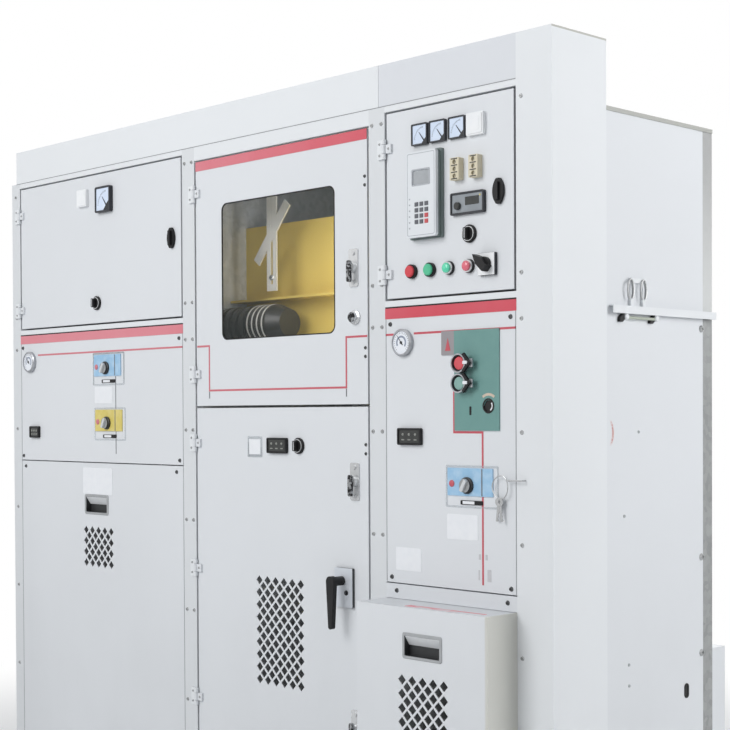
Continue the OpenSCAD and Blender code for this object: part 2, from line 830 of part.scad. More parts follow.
// Right control door with its instruments
right_latch_at = [at(right_leaf, 0.896), up(control_z, 0.498)];
right_selector_at = [at(right_leaf, 0.672), up(control_z, 0.301)];
pilot_s = [for (f = [0.213, 0.363, 0.512, 0.667, 0.813]) at(right_leaf, f)];
module right_control_door() {
  color("whitesmoke") {
    difference() {
      pan(right_leaf, [0, leaf_d], control_z);
      spindle_hole(right_latch_at[0], right_latch_at[1]);
      spindle_hole(right_selector_at[0], right_selector_at[1]);
      for (i = [0, 1, 4])
        spindle_hole(pilot_s[i], pilot_z);
    }
    for (z = control_hinges)
      hinge_moving(right_leaf[1] + hinge_gap / 2, z);
  }
}
module right_door_meters() {
  z = up(control_z, 0.856);
  color("black") {
    for (f = [0.288, 0.432, 0.584])
      bezel(at(right_leaf, f), z, meter_e, meter_e, 8, 3);
    plate(at(right_leaf, 0.731), z, 0, meter_e, meter_e, 10, 3);
    bezel(at(right_leaf, 0.667), up(control_z, 0.459), relay_e, 48, 9, 4);
    difference() {
      plate(pilot_s[4], pilot_z, 0, meter_e, 48, 9, 2);
      facing(pilot_s[4], pilot_z, 1)
        cylinder(h = 12, r = spindle_r + play);
    }
  }
}
module protection_relay() {
  s = at(right_leaf, 0.343);
  z = up(control_z, 0.532);
  color("gainsboro")
    difference() {
      union() {
        plate(s, z, 0, relay_e, relay_h, 8, 3);
        plate(s, z, -8, relay_e - 6, relay_h - 6, relay_d - 8, 6);
      }
      plate(s, z + 0.19 * relay_h, 2.5 - relay_d, 0.52 * relay_e, 0.16 * relay_h, 4, 2);
    }
}
module terminal_blocks() {
  z = up(control_z, 0.639);
  color("tan")
    for (f = [0.589, 0.733])
      difference() {
        plate(at(right_leaf, f), z, 0, 26, 48, 16, 2);
        for (k = [-1, 0, 1])
          facing(at(right_leaf, f), z + k * 15, -10)
            cylinder(h = 8, r = 5);
      }
}
module indicator_lamps() {
  color("mediumseagreen")
    for (i = [2, 3])
      facing(pilot_s[i], pilot_z, 0)
        rotate_extrude()
          polygon([[0, 0], [15, 0], [15, 6], [13, 8], [11, 8], [10, 13], [7, 15], [0, 16]]);
}
module push_button(s, z) {
  spindle(s, z, 5);
  facing(s, z, -4)
    rotate_extrude()
      polygon([[0, 0], [button_r, 0], [button_r, 8], [button_r - 2, 10], [0, 10]]);
}
module red_button() {
  color("crimson")
    push_button(pilot_s[0], pilot_z);
}
module green_button() {
  color("seagreen")
    push_button(pilot_s[1], pilot_z);
}
module right_selector() {
  color("black")
    selector(right_selector_at[0], right_selector_at[1]);
}
module right_latch() {
  color("black")
    lens_latch(right_latch_at[0], right_latch_at[1]);
}
module rotary_handle() {
  color("black") {
    spindle(pilot_s[4], pilot_z, 11);
    facing(pilot_s[4], pilot_z, -10)
      rotate([0, 0, 45]) {
        cylinder(h = 8, r = 15);
        linear_extrude(20)
          polygon([[-8, -16], [8, -16], [9, 10], [0, 30], [-9, 10]]);
      }
  }
}
base_frame();
floor_plates();
left_end_wall();
partitions();
right_end_wall();
rear_posts();
back_panels();
rear_cable_covers();
roof_panels();
wireway_box();
joint_strips();
fascia_panels();
end_trim();
door_rails();
control_trays();
left_mimic_panel();
right_mimic_panel();
left_cable_cover();
right_cable_box();
pull_cups();
marking_strips();
gas_gauges();
operating_plates();
operating_knobs();
breaker_plate();
breaker_buttons();
panel_displays();
side_rail();
hinge_pins();
barrier_board();
stay_bars();
transformer_shelf();
instrument_transformer();
left_control_door();
left_door_meters();
left_latch();
left_selector();
window_door();
window_pane();
window_strip();
window_hasp();
metering_door();
metering_display();
metering_hasps();
metering_selector();
lever_plate();
lever_handle();
right_control_door();
right_door_meters();
protection_relay();
terminal_blocks();
indicator_lamps();
red_button();
green_button();
right_selector();
right_latch();
rotary_handle();
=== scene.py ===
import math

import bmesh
import bpy
from mathutils import Matrix, Vector


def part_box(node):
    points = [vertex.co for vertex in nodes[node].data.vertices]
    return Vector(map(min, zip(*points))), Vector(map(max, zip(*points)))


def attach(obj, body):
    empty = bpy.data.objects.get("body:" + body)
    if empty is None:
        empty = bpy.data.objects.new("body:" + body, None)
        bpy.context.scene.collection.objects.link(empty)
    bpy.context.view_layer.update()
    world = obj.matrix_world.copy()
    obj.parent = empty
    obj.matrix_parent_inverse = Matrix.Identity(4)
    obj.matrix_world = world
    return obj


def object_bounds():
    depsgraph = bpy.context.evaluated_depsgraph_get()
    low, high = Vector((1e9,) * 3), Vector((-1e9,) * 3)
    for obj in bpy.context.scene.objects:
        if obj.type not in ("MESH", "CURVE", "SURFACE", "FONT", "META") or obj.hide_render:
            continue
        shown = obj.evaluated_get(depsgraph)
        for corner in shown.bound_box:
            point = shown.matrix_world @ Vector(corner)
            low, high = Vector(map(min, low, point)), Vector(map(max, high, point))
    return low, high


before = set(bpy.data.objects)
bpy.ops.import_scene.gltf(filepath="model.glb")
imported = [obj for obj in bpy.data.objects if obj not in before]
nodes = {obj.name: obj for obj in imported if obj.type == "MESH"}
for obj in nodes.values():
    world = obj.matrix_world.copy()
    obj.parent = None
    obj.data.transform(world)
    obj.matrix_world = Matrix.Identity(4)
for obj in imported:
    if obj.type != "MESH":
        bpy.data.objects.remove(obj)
cad_low, cad_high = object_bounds()


# Plinth: channels folded from thick steel sheet, bolted down through their lower flanges.
# They carry a brushed dark grey machine paint that gets scuffed along the floor.
class Tone:
    """A socket of a finish or of a shape's tree, so that maths on it reads as an expression."""

    def __init__(self, tree, socket):
        self.tree = tree
        self.socket = socket

    def node(self, kind, settings, links, out=0):
        made = self.tree.nodes.new(kind)
        for label, value in settings.items():
            setattr(made, label, value)
        for label, value in links.items():
            if isinstance(value, Tone):
                self.tree.links.new(value.socket, made.inputs[label])
            else:
                made.inputs[label].default_value = value
        return Tone(self.tree, made.outputs[out])

    def maths(self, operation, first, second=0.0):
        return self.node("ShaderNodeMath", {"operation": operation}, {0: first, 1: second})

    def __add__(self, other):
        return self.maths("ADD", self, other)

    def __sub__(self, other):
        return self.maths("SUBTRACT", self, other)

    def __rsub__(self, other):
        return self.maths("SUBTRACT", other, self)

    def __mul__(self, other):
        return self.maths("MULTIPLY", self, other)

    def __truediv__(self, other):
        return self.maths("DIVIDE", self, other)

    def __gt__(self, other):
        return self.maths("GREATER_THAN", self, other)

    def __lt__(self, other):
        return self.maths("LESS_THAN", self, other)

    def __abs__(self):
        return self.maths("ABSOLUTE", self)

    __radd__ = __add__
    __rmul__ = __mul__

    def axis(self, number):
        return self.node("ShaderNodeSeparateXYZ", {}, {0: self}, number)

    def noise(self, scale, detail=2.0):
        return self.node("ShaderNodeTexNoise", {}, {"Vector": self, "Scale": scale,
                                                    "Detail": detail})

    def stretched(self, across, deep, up):
        return self.node("ShaderNodeMapping", {}, {"Vector": self, "Scale": (across, deep, up)})

    def rise(self, low, high):
        return self.node("ShaderNodeMapRange", {"interpolation_type": "SMOOTHSTEP"},
                         {"Value": self, "From Min": low, "From Max": high})

    def between(self, low, high):
        return self.node("ShaderNodeMix", {"data_type": "RGBA"}, {0: self, 6: low, 7: high}, 2)


def shade(red, green, blue):
    """Colour as read off a paint card, 0 to 255, in the renderer's linear values."""
    return tuple(c / 3294.6 if c < 11 else ((c / 255 + 0.055) / 1.055) ** 2.4
                 for c in (red, green, blue)) + (1.0,)


def new_finish(name, colour, roughness, grain=None, grain_depth=0.0, **fixed):
    """Finish from a colour and a roughness that are values or follow the place on the piece."""
    made = bpy.data.materials.new(name)
    made.use_nodes = True
    tree = made.node_tree
    shader = tree.nodes["Principled BSDF"]
    place = Tone(tree, tree.nodes.new("ShaderNodeTexCoord").outputs["Object"])
    for label, value in {"Base Color": colour, "Roughness": roughness}.items():
        value = value(place) if callable(value) else value
        if isinstance(value, Tone):
            tree.links.new(value.socket, shader.inputs[label])
        else:
            shader.inputs[label].default_value = value
    if grain:
        bump = place.node("ShaderNodeBump", {}, {"Height": grain(place), "Distance": grain_depth})
        tree.links.new(bump.socket, shader.inputs["Normal"])
    for label, value in fixed.items():
        shader.inputs[label.replace("_", " ")].default_value = value
    return made


def wavering(base, spread, scale, detail):
    """Value that drifts over the piece, by up to a spread above its base."""
    return lambda place: base + spread * place.noise(scale, detail)


def dress(finish, *names):
    for name in names:
        nodes[name].data.materials.clear()
        nodes[name].data.materials.append(finish)


SCUFF_FOOT, SCUFF_TOP = 0.010, 0.075


def scuffed_grey(place):
    near_floor = 1 - place.axis(2).rise(SCUFF_FOOT, SCUFF_TOP)
    scuffs = place.noise(40, 5).rise(0.56, 0.70) * near_floor
    return (0.7 * scuffs + 0.25 * place.noise(3, 3)).between(shade(50, 53, 56),
                                                             shade(128, 126, 121))


plinth_paint = new_finish("plinth_paint", scuffed_grey, wavering(0.42, 0.25, 22, 3),
                          lambda place: place.noise(420, 2), 0.00006)
dress(plinth_paint, "base_frame")


# Inner sheets and rear corner posts: cold-rolled sheet, hot-dip zinc coated.
# The zinc freezes in flat crystals a centimetre across, so each reflects a little differently.
CRYSTAL_SCALE = 75.0


def zinc_crystals(place):
    cells = place.node("ShaderNodeTexVoronoi", {}, {"Vector": place, "Scale": CRYSTAL_SCALE},
                       "Color")
    return place.node("ShaderNodeSeparateColor", {}, {"Color": cells}, "Red")


def bright_zinc(place):
    return (0.55 * zinc_crystals(place) + 0.45 * place.noise(6, 4)).between(
        shade(176, 179, 181), shade(206, 209, 212))


zinc = new_finish("zinc_sheet", bright_zinc, lambda place: 0.38 + 0.18 * zinc_crystals(place),
                  Metallic=0.35)
dress(zinc, "floor_plates", "partitions", "control_trays", "transformer_shelf")
RAIL_LEVEL, POST_TOP = 1.430, 1.84


def post_zinc(place):
    """Dull blotched zinc; the right post is paler above the rail and darkens upwards."""
    above_rail = place.axis(2).rise(RAIL_LEVEL - 0.004, RAIL_LEVEL + 0.004) * (place.axis(0) > 0)
    blotched = (0.6 * zinc_crystals(place) + 0.4 * place.noise(6, 4)).between(
        shade(132, 134, 134), shade(164, 166, 166))
    paler = place.axis(2).rise(RAIL_LEVEL, POST_TOP).between(shade(196, 198, 198),
                                                             shade(160, 161, 161))
    return above_rail.between(blotched, paler)


dress(new_finish("post_zinc", post_zinc, lambda place: 0.40 + 0.18 * zinc_crystals(place),
                 Metallic=0.2), "rear_posts")


# Outer walls, back, roof and covers: folded sheet with a light grey powder coat.
# The coat has a fine orange peel, and is drawn darker in patches towards the floor.
trim_low, trim_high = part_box("end_trim")
RIGHT, FRONT = trim_high.x, trim_low.y
ORANGE_PEEL = 0.00004


def powder_coat(name, light_tone, dark_tone, mark=None, mark_colour=None):
    def colour(place):
        # darker in patches towards the floor
        height_patches = (1 - place.axis(2).rise(0.05, 1.25)) * place.stretched(1, 1, 0.35).noise(4, 4)
        clouds = place.noise(1.6, 3)
        tone = (0.75 * height_patches + 0.35 * clouds).between(light_tone, dark_tone)
        return mark(place).between(tone, mark_colour) if mark else tone

    return new_finish(name, colour, wavering(0.36, 0.2, 9, 4),
                      lambda place: place.noise(420, 2), ORANGE_PEEL)


SCUFF_DEEP, SCUFF_LEVEL = 0.208, 1.163


def red_scuff(place):
    """Rub mark of something red, a slightly bent upright streak on the right wall."""
    height = place.axis(2) - SCUFF_LEVEL
    bend = 0.010 * height * height / 0.0009
    streak = 1 - abs(place.axis(1) - (FRONT + SCUFF_DEEP) + bend).rise(0.0012, 0.0050)
    length = 1 - abs(height).rise(0.016, 0.030)
    return 0.85 * streak * length * place.noise(160, 4).rise(0.30, 0.55)


roof_low, roof_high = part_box("roof_panels")
ROOF_FLANGE = 0.0025


# The roof's side flanges are drawn a darker grey: painted shade over the end walls.
def shaded_roof_flange(place):
    off_middle = abs(place.axis(0) - (roof_low.x + roof_high.x) / 2)
    return off_middle > (roof_high.x - roof_low.x) / 2 - ROOF_FLANGE


PANEL_LIGHT, PANEL_DARK = shade(224, 227, 231), shade(199, 202, 205)
panel_paint = powder_coat("panel_paint", PANEL_LIGHT, PANEL_DARK)
wall_paint = powder_coat("wall_paint", PANEL_LIGHT, PANEL_DARK, red_scuff, shade(190, 122, 114))
roof_paint_shaded_flange = powder_coat("roof_paint_shaded_flange", PANEL_LIGHT, PANEL_DARK, shaded_roof_flange, shade(172, 173, 168))
dress(panel_paint, "left_end_wall", "back_panels", "rear_cable_covers", "wireway_box")
dress(roof_paint_shaded_flange, "roof_panels")
dress(wall_paint, "right_end_wall")


# Screws of the walls: zinc-plated pan heads with a cross recess, set along the sheet edges.
# The right wall also has four larger ones by its rear post and four small rivets.
def shape_tree(name, sizes):
    """Geometry tree with a named input for each size, and those inputs to work with."""
    tree = bpy.data.node_groups.new(name, "GeometryNodeTree")
    tree.interface.new_socket("Shape", in_out="OUTPUT", socket_type="NodeSocketGeometry")
    for label, kind in sizes.items():
        tree.interface.new_socket(label, in_out="INPUT", socket_type="NodeSocket" + kind)
    source = tree.nodes.new("NodeGroupInput")
    return tree, {label: Tone(tree, source.outputs[label]) for label in sizes}


def end_tree(tree, instances, finish):
    solid = instances.node("GeometryNodeRealizeInstances", {}, {0: instances})
    painted = solid.node("GeometryNodeSetMaterial", {}, {"Geometry": solid, "Material": finish})
    tree.links.new(painted.socket, tree.nodes.new("NodeGroupOutput").inputs["Shape"])


def add_to_scene(name, data, body):
    made = bpy.data.objects.new(name, data)
    bpy.context.scene.collection.objects.link(made)
    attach(made, body)
    return made


def set_out(name, tree, sizes, body, points=()):
    """Runs a shape tree on some points and keeps the result as a plain mesh on a body."""
    carrier_mesh = bpy.data.meshes.new(name + "_points")
    carrier_mesh.from_pydata([tuple(p) for p in points], [], [])
    carrier = bpy.data.objects.new(name + "_points", carrier_mesh)
    bpy.context.scene.collection.objects.link(carrier)
    modifier = carrier.modifiers.new("shape", "NODES")
    modifier.node_group = tree
    keys = {item.name: item.identifier for item in tree.interface.items_tree
            if item.in_out == "INPUT"}
    for label, value in sizes.items():
        modifier[keys[label]] = value
    bpy.context.view_layer.update()
    shaped = carrier.evaluated_get(bpy.context.evaluated_depsgraph_get())
    data = bpy.data.meshes.new_from_object(shaped)
    bpy.data.objects.remove(carrier)
    data.name = name
    return add_to_scene(name, data, body)


screw_tree, size = shape_tree("screw_heads", {
    "Places": "Geometry", "Head Radius": "Float", "Head Height": "Float", "Facing": "Vector",
    "Seed": "Int", "Material": "Material"})
places, radius, rise = size["Places"], size["Head Radius"], size["Head Height"]
head = places.node("GeometryNodeMeshCone", {}, {
    "Vertices": 14, "Radius Top": 0.74 * radius, "Radius Bottom": radius, "Depth": rise})
for long_way in (0, 1):
    arm = [0.30 * radius, 0.30 * radius]
    arm[long_way] = 1.15 * radius
    slot_size = places.node("ShaderNodeCombineXYZ", {}, {0: arm[0], 1: arm[1], 2: rise})
    lift = places.node("ShaderNodeCombineXYZ", {}, {2: rise})
    bar = places.node("GeometryNodeMeshCube", {}, {"Size": slot_size})
    bar = places.node("GeometryNodeTransform", {}, {"Geometry": bar, "Translation": lift})
    head = places.node("GeometryNodeMeshBoolean", {"operation": "DIFFERENCE"},
                       {"Mesh 1": head, "Mesh 2": bar})
turned_to = places.node("FunctionNodeAlignRotationToVector", {"axis": "Z"},
                        {"Vector": size["Facing"]})
heads = places.node("GeometryNodeInstanceOnPoints", {},
                    {"Points": places, "Instance": head, "Rotation": turned_to})
spin = places.node("FunctionNodeRandomValue", {"data_type": "FLOAT"},
                   {2: 0.0, 3: math.pi / 2, "Seed": size["Seed"]}, 1)
twist = places.node("ShaderNodeCombineXYZ", {}, {2: spin})
heads = places.node("GeometryNodeRotateInstances", {}, {"Instances": heads, "Rotation": twist})
end_tree(screw_tree, heads, size["Material"])

TO_FRONT, TO_RIGHT, TO_BACK, TO_LEFT, UP = (0, -1, 0), (1, 0, 0), (0, 1, 0), (-1, 0, 0), (0, 0, 1)


def screws(name, points, facing, head_radius, finish, body="cubicles"):
    return set_out(name, screw_tree, {
        "Head Radius": head_radius, "Head Height": 0.55 * head_radius, "Facing": facing,
        "Seed": len(points), "Material": finish}, body, points)


def row(low, high, count):
    return [low + (high - low) * i / (count - 1) for i in range(count)]


def mottled(name, scale, detail, dark, light, *surface, **fixed):
    """Finish that drifts between two shades; surface is its roughness, any grain and its depth."""
    def colour(place):
        return place.noise(scale, detail).between(shade(*dark), shade(*light))

    return new_finish(name, colour, *surface, **fixed)


plated = mottled("plated_steel", 300, 3, (150, 152, 154), (205, 206, 206),
                 wavering(0.28, 0.25, 500, 2), Metallic=0.9)
wall_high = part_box("right_end_wall")[1]
BOLT_HEAD, SHEET_HEAD, RIVET_HEAD = 0.0085, 0.0055, 0.0038
WALL_BOLTS = ((0.545, 1.398), (0.545, 0.873), (0.545, 0.652), (0.545, 0.300))
WALL_RIVETS = ((0.264, 0.657), (0.265, 0.611), (0.301, 1.164), (0.248, 0.982))
for name, spots, head_radius, finish in (("right_wall_bolts", WALL_BOLTS, BOLT_HEAD, plated),
                                         ("right_wall_rivets", WALL_RIVETS, RIVET_HEAD, zinc)):
    screws(name, [(wall_high.x, FRONT + deep, up) for deep, up in spots], TO_RIGHT, head_radius,
           finish)
left_low, left_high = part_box("left_end_wall")
LEFT_INSET, BACK_INSET, COVER_INSET = 0.012, 0.018, 0.030
screws("left_wall_bolts", [(left_low.x, left_high.y - LEFT_INSET, up) for _, up in WALL_BOLTS],
       TO_LEFT, BOLT_HEAD, plated)
JOINTS, BACK_FOOT = (0.510, 1.215), 0.72
back_low, back_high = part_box("back_panels")
back_screws = [(x, back_high.y, z) for z in row(BACK_FOOT, back_high.z - COVER_INSET, 5)
               for joint in (cad_low.x, *(RIGHT - left for left in JOINTS[::-1]), RIGHT)
               for x in (joint - BACK_INSET, joint + BACK_INSET) if back_low.x < x < back_high.x]
screws("back_panel_screws", back_screws, TO_BACK, SHEET_HEAD, plated)
cover_low, cover_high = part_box("rear_cable_covers")
cover_screws = [(x, cover_high.y, z)
                for x in row(cover_low.x + COVER_INSET, cover_high.x - COVER_INSET, 10)
                for z in (cover_low.z + COVER_INSET, cover_high.z - COVER_INSET)]
screws("rear_cover_screws", cover_screws, TO_BACK, SHEET_HEAD, plated)
ROOF_INSET, ROOF_ROWS = 0.050, (0.025, 0.260)


def top_of(node, x, y):
    """Where a plumb line meets a CAD node from above."""
    _, hit, _, _ = nodes[node].ray_cast(Vector((x, y, cad_high.z + 0.5)), Vector((0, 0, -1)))
    return hit


roof_screws = [top_of("roof_panels", x, roof_high.y - deep)
               for x in row(roof_low.x + ROOF_INSET, roof_high.x - ROOF_INSET, 9)
               for deep in ROOF_ROWS]
screws("roof_screws", roof_screws, UP, SHEET_HEAD, plated)


# Front frame: joint strips, end trim, fascia, door rails and filler, off-white powder coat.
# Pan-head screws in pairs hold the joint strips, single ones the end strip and the trim.
frame_paint = powder_coat("frame_paint", shade(229, 232, 235), shade(211, 214, 217))
# The joint strips take a darker copy of the frame paint: painted shade.
strip_paint_shaded = powder_coat("strip_paint_shaded", shade(219, 222, 225), shade(201, 204, 207))
# Right of its joint the fascia is drawn greyer: painted shade.
FASCIA_JOINT = RIGHT - 0.503
fascia_paint_shaded_right = powder_coat("fascia_paint_shaded_right", shade(230, 233, 236), shade(214, 217, 220),
                           lambda place: place.axis(0) > FASCIA_JOINT, shade(216, 219, 224))


def trim_edge(place):
    return (place.axis(0) > RIGHT - 0.0008) * place.axis(2).rise(trim_high.z - 0.0050,
                                                                 trim_high.z - 0.0035)


trim_paint = powder_coat("trim_paint", shade(229, 232, 235), shade(209, 212, 215),
                         trim_edge, shade(180, 180, 174))
dress(trim_paint, "end_trim")
dress(frame_paint, "door_rails", "hinge_pins")
dress(strip_paint_shaded, "joint_strips")
dress(fascia_paint_shaded_right, "fascia_panels")
SCREW_LEVELS = (1.866, 1.500, 1.404, 1.166, 0.930, 0.693, 0.455, 0.220)
TRIM_LINE, END_LINE, PAIR_GAP, TRIM_HEAD = 0.082, 2.068, 0.030, 0.0050
BOX_TOP = 0.8
strip_screws = [(RIGHT - left, FRONT, up) for left in (TRIM_LINE, END_LINE) for up in SCREW_LEVELS]
strip_screws += [(RIGHT - left + side, FRONT, up) for left in JOINTS
                 for side in (-PAIR_GAP / 2, PAIR_GAP / 2) for up in SCREW_LEVELS
                 if left > JOINTS[0] or up > BOX_TOP]
screws("frame_screws", strip_screws, TO_FRONT, TRIM_HEAD, plated)


# Side rail: a folded cable rail across the right wall, with its hook bracket standing on it.
# Two black clips hold the rail from below, the wall has one oblong cable slot with a rubber edge.
class Blank:
    """One mesh in the making. A shape is laid out on its face: u across, v up, w out of it."""

    def __init__(self):
        self.mesh = bmesh.new()

    def ring(self, at, points, out):
        return [self.mesh.verts.new(at @ Vector((u, v, out))) for u, v in points]

    def skin(self, low, high):
        for i in range(len(low)):
            j = (i + 1) % len(low)
            self.mesh.faces.new((low[i], low[j], high[j], high[i]))

    def plate(self, at, outline, thick, soft=0.0005):
        """Flat plate whose front edge is eased by a small chamfer."""
        soft = min(soft, 0.4 * thick)
        rings = [self.ring(at, outline, 0), self.ring(at, outline, thick - soft),
                 self.ring(at, drawn_in(outline, soft), thick)]
        for low, high in zip(rings, rings[1:]):
            self.skin(low, high)
        self.mesh.faces.new(rings[-1])
        self.mesh.faces.new(rings[0][::-1])
        return self

    def frame(self, at, outer, inner, thick, soft=0.0005):
        """Plate with an opening; both outlines have the same number of points."""
        soft = min(soft, 0.4 * thick)
        rings = [self.ring(at, inner, 0), self.ring(at, outer, 0),
                 self.ring(at, outer, thick - soft), self.ring(at, drawn_in(outer, soft), thick),
                 self.ring(at, inner, thick)]
        for low, high in zip(rings, rings[1:] + rings[:1]):
            self.skin(low, high)
        return self

    def turned(self, at, profile, sides=32, closed=False):
        """Solid of revolution round w from (radius, height) steps."""
        rings = [self.ring(at, disc(max(radius, 1e-7), sides), out) for radius, out in profile]
        for low, high in zip(rings, rings[1:] + rings[:1] if closed else rings[1:]):
            self.skin(low, high)
        return self

    def rod(self, path, radius, sides=8):
        """Round bar along points of the part's own space."""
        rings = []
        for i, point in enumerate(path):
            ahead = (path[min(i + 1, len(path) - 1)] - path[max(i - 1, 0)]).normalized()
            across = ahead.orthogonal().normalized() if not rings else (
                side - ahead * side.dot(ahead)).normalized()
            side = across
            turn = Matrix((across, ahead.cross(across), ahead)).transposed().to_4x4()
            rings.append(self.ring(Matrix.Translation(point) @ turn, disc(radius, sides), 0))
        for low, high in zip(rings, rings[1:]):
            self.skin(low, high)
        if (path[0] - path[-1]).length > 1e-6:
            self.mesh.faces.new(rings[-1])
            self.mesh.faces.new(rings[0][::-1])
        return self

    def tape(self, at, path, width, thick):
        """Flat strip along a line of (u, v) points, mitred at its bends."""
        points = [Vector(p) for p in path]
        ways = [(b - a).normalized() for a, b in zip(points, points[1:])]
        left, right = [], []
        for i, point in enumerate(points):
            before, after = ways[max(i - 1, 0)], ways[min(i, len(ways) - 1)]
            mitre = Vector((-(before + after).y, (before + after).x)).normalized()
            reach = width / 2 / max(mitre.dot(Vector((-after.y, after.x))), 0.2)
            left.append(point + mitre * reach)
            right.append(point - mitre * reach)
        for i in range(len(ways)):
            corners = [right[i], right[i + 1], left[i + 1], left[i]]
            self.plate(at, [tuple(c) for c in corners], thick, 0.0)
        return self


def drawn_in(outline, by):
    """The outline moved inwards by a distance, for counter-clockwise points."""
    moved = []
    for i, point in enumerate(outline):
        here, last = Vector(point), Vector(outline[i - 1])
        following = Vector(outline[(i + 1) % len(outline)])
        way = (here - last).normalized() + (following - here).normalized()
        inward = Vector((-way.y, way.x)).normalized()
        moved.append(tuple(here + by * inward))
    return moved


def disc(radius, sides=32):
    return [(radius * math.cos(2 * math.pi * i / sides), radius * math.sin(2 * math.pi * i / sides))
            for i in range(sides)]


def block(wide, high, corner=0.001, steps=5):
    """Rectangle with rounded corners, middle at zero."""
    points = []
    for i, (u, v) in enumerate(((1, 1), (-1, 1), (-1, -1), (1, -1))):
        for k in range(steps):
            turn = math.pi / 2 * (i + k / (steps - 1))
            points.append((u * (wide / 2 - corner) + corner * math.cos(turn),
                           v * (high / 2 - corner) + corner * math.sin(turn)))
    return points


def square_with(wide, high, sides=48):
    """Rectangle stepped round by angle, to match the points of a round hole in it."""
    points = []
    for u, v in disc(1.0, sides):
        reach = min(wide / 2 / max(abs(u), 1e-6), high / 2 / max(abs(v), 1e-6))
        points.append((u * reach, v * reach))
    return points


def facing_front(x, z, out=0.0):
    return Matrix(((1, 0, 0, x), (0, 0, -1, FRONT - out), (0, 1, 0, z), (0, 0, 0, 1)))


def facing_right(deep, z, x):
    return Matrix(((0, 0, 1, x), (1, 0, 0, FRONT + deep), (0, 1, 0, z), (0, 0, 0, 1)))


def over(low, high, out=0.0):
    """Front-facing place over the middle of a box."""
    return facing_front((low.x + high.x) / 2, (low.z + high.z) / 2, out)


def shifted(at, u, v, w):
    return at @ Matrix.Translation((u, v, w))


def piece(name, blank, finish, body="cubicles"):
    """Ends a blank: closed, turned the right way out, finished and hung on its body."""
    bmesh.ops.remove_doubles(blank.mesh, verts=blank.mesh.verts, dist=2e-7)
    bmesh.ops.recalc_face_normals(blank.mesh, faces=blank.mesh.faces)
    data = bpy.data.meshes.new(name)
    blank.mesh.to_mesh(data)
    blank.mesh.free()
    data.materials.append(finish)
    data.shade_smooth()
    data.set_sharp_from_angle(angle=math.radians(32))
    return add_to_scene(name, data, body)


black_plastic = mottled("black_plastic", 30, 3, (13, 13, 15), (30, 30, 32),
                        wavering(0.36, 0.2, 60, 3), lambda place: place.noise(1700, 2), 0.00005,
                        Specular_IOR_Level=0.3)
dress(frame_paint, "side_rail")
CLIP_DEPTHS, CLIP_LEVEL, CLIP_THICK = (0.243, 0.354), 1.4130, 0.007
CLIP_OUTLINE = [(-0.018, -0.011), (-0.006, -0.011), (0.004, -0.002), (0.004, 0.007),
                (-0.006, 0.007), (-0.018, -0.001)]
CAP_PROFILE = [(0, 0), (0.0075, 0), (0.0075, 0.0085), (0.0055, 0.0105), (0, 0.0110)]
clips, clip_caps = Blank(), Blank()
for deep in CLIP_DEPTHS:
    at = facing_right(deep, CLIP_LEVEL, wall_high.x)
    clips.plate(at, CLIP_OUTLINE, CLIP_THICK, 0.001)
    clip_caps.turned(shifted(at, 0.005, 0.001, 0), CAP_PROFILE, 20)
piece("rail_clips", clips, black_plastic)
piece("rail_clip_caps", clip_caps, frame_paint)
BAR_RADIUS, BAR_OUT = 0.0032, 0.006
clip_bar = Blank().rod([Vector((wall_high.x + BAR_OUT, FRONT + deep, CLIP_LEVEL - 0.001))
                        for deep in CLIP_DEPTHS], BAR_RADIUS, 10)
bar_green = mottled("dull_green_paint", 60, 3, (168, 176, 162), (186, 192, 180), 0.5)
piece("rail_clip_bar", clip_bar, bar_green)
HOOK_DEPTHS, HOOK_LEVEL, HOOK_OUT = (0.262, 0.309), 1.4720, 0.0085
HOOK_WIDE, HOOK_TALL, HOOK_WIRE = 0.0105, 2.2 * 0.0105, 0.0022
hooks = Blank()
for deep in HOOK_DEPTHS:
    turns = [math.radians(-50 + 29 * i) for i in range(11)]
    hooks.rod([Vector((wall_high.x + HOOK_OUT, FRONT + deep + HOOK_WIDE * math.cos(t),
                       HOOK_LEVEL + HOOK_TALL * math.sin(t))) for t in turns], HOOK_WIRE, 10)
piece("rail_hooks", hooks, plated)
rubber = mottled("black_rubber", 200, 2, (14, 14, 14), (30, 30, 30), 0.75,
                 lambda place: place.noise(900, 2), 0.00004)
wall_slot = facing_right(0.484, 0.572, wall_high.x)
grommet = Blank().frame(wall_slot, block(0.017, 0.034, 0.0084), block(0.009, 0.026, 0.0044), 0.002)
grommet.plate(wall_slot, block(0.010, 0.027, 0.0049), 0.0006)
piece("wall_slot_edge", grommet, rubber)


# Mimic panels: pans of the same light grey sheet, screwed at the corners through countersunk holes.
# A red vinyl tape marks the current path on them, and a grey one the path to earth.
dress(panel_paint, "left_mimic_panel", "right_mimic_panel")
PANEL_SCREWS = ((2.034, 1.409), (1.258, 1.409), (2.034, 1.085), (1.258, 1.085), (2.022, 1.054),
                (1.272, 1.054), (0.468, 1.409), (0.112, 1.409), (0.466, 0.836), (0.112, 0.836),
                (0.451, 0.806), (0.122, 0.806))
dark_screw = mottled("blackened_steel", 400, 3, (60, 61, 62), (120, 121, 122), 0.4, Metallic=0.8)
screws("panel_screws", [(RIGHT - left, FRONT, up) for left, up in PANEL_SCREWS], TO_FRONT,
       SHEET_HEAD, dark_screw)

TAPE, TAPE_THICK, EARTH_TAPE, PANEL_GAP = 0.0048, 0.0005, 0.0030, 0.0018


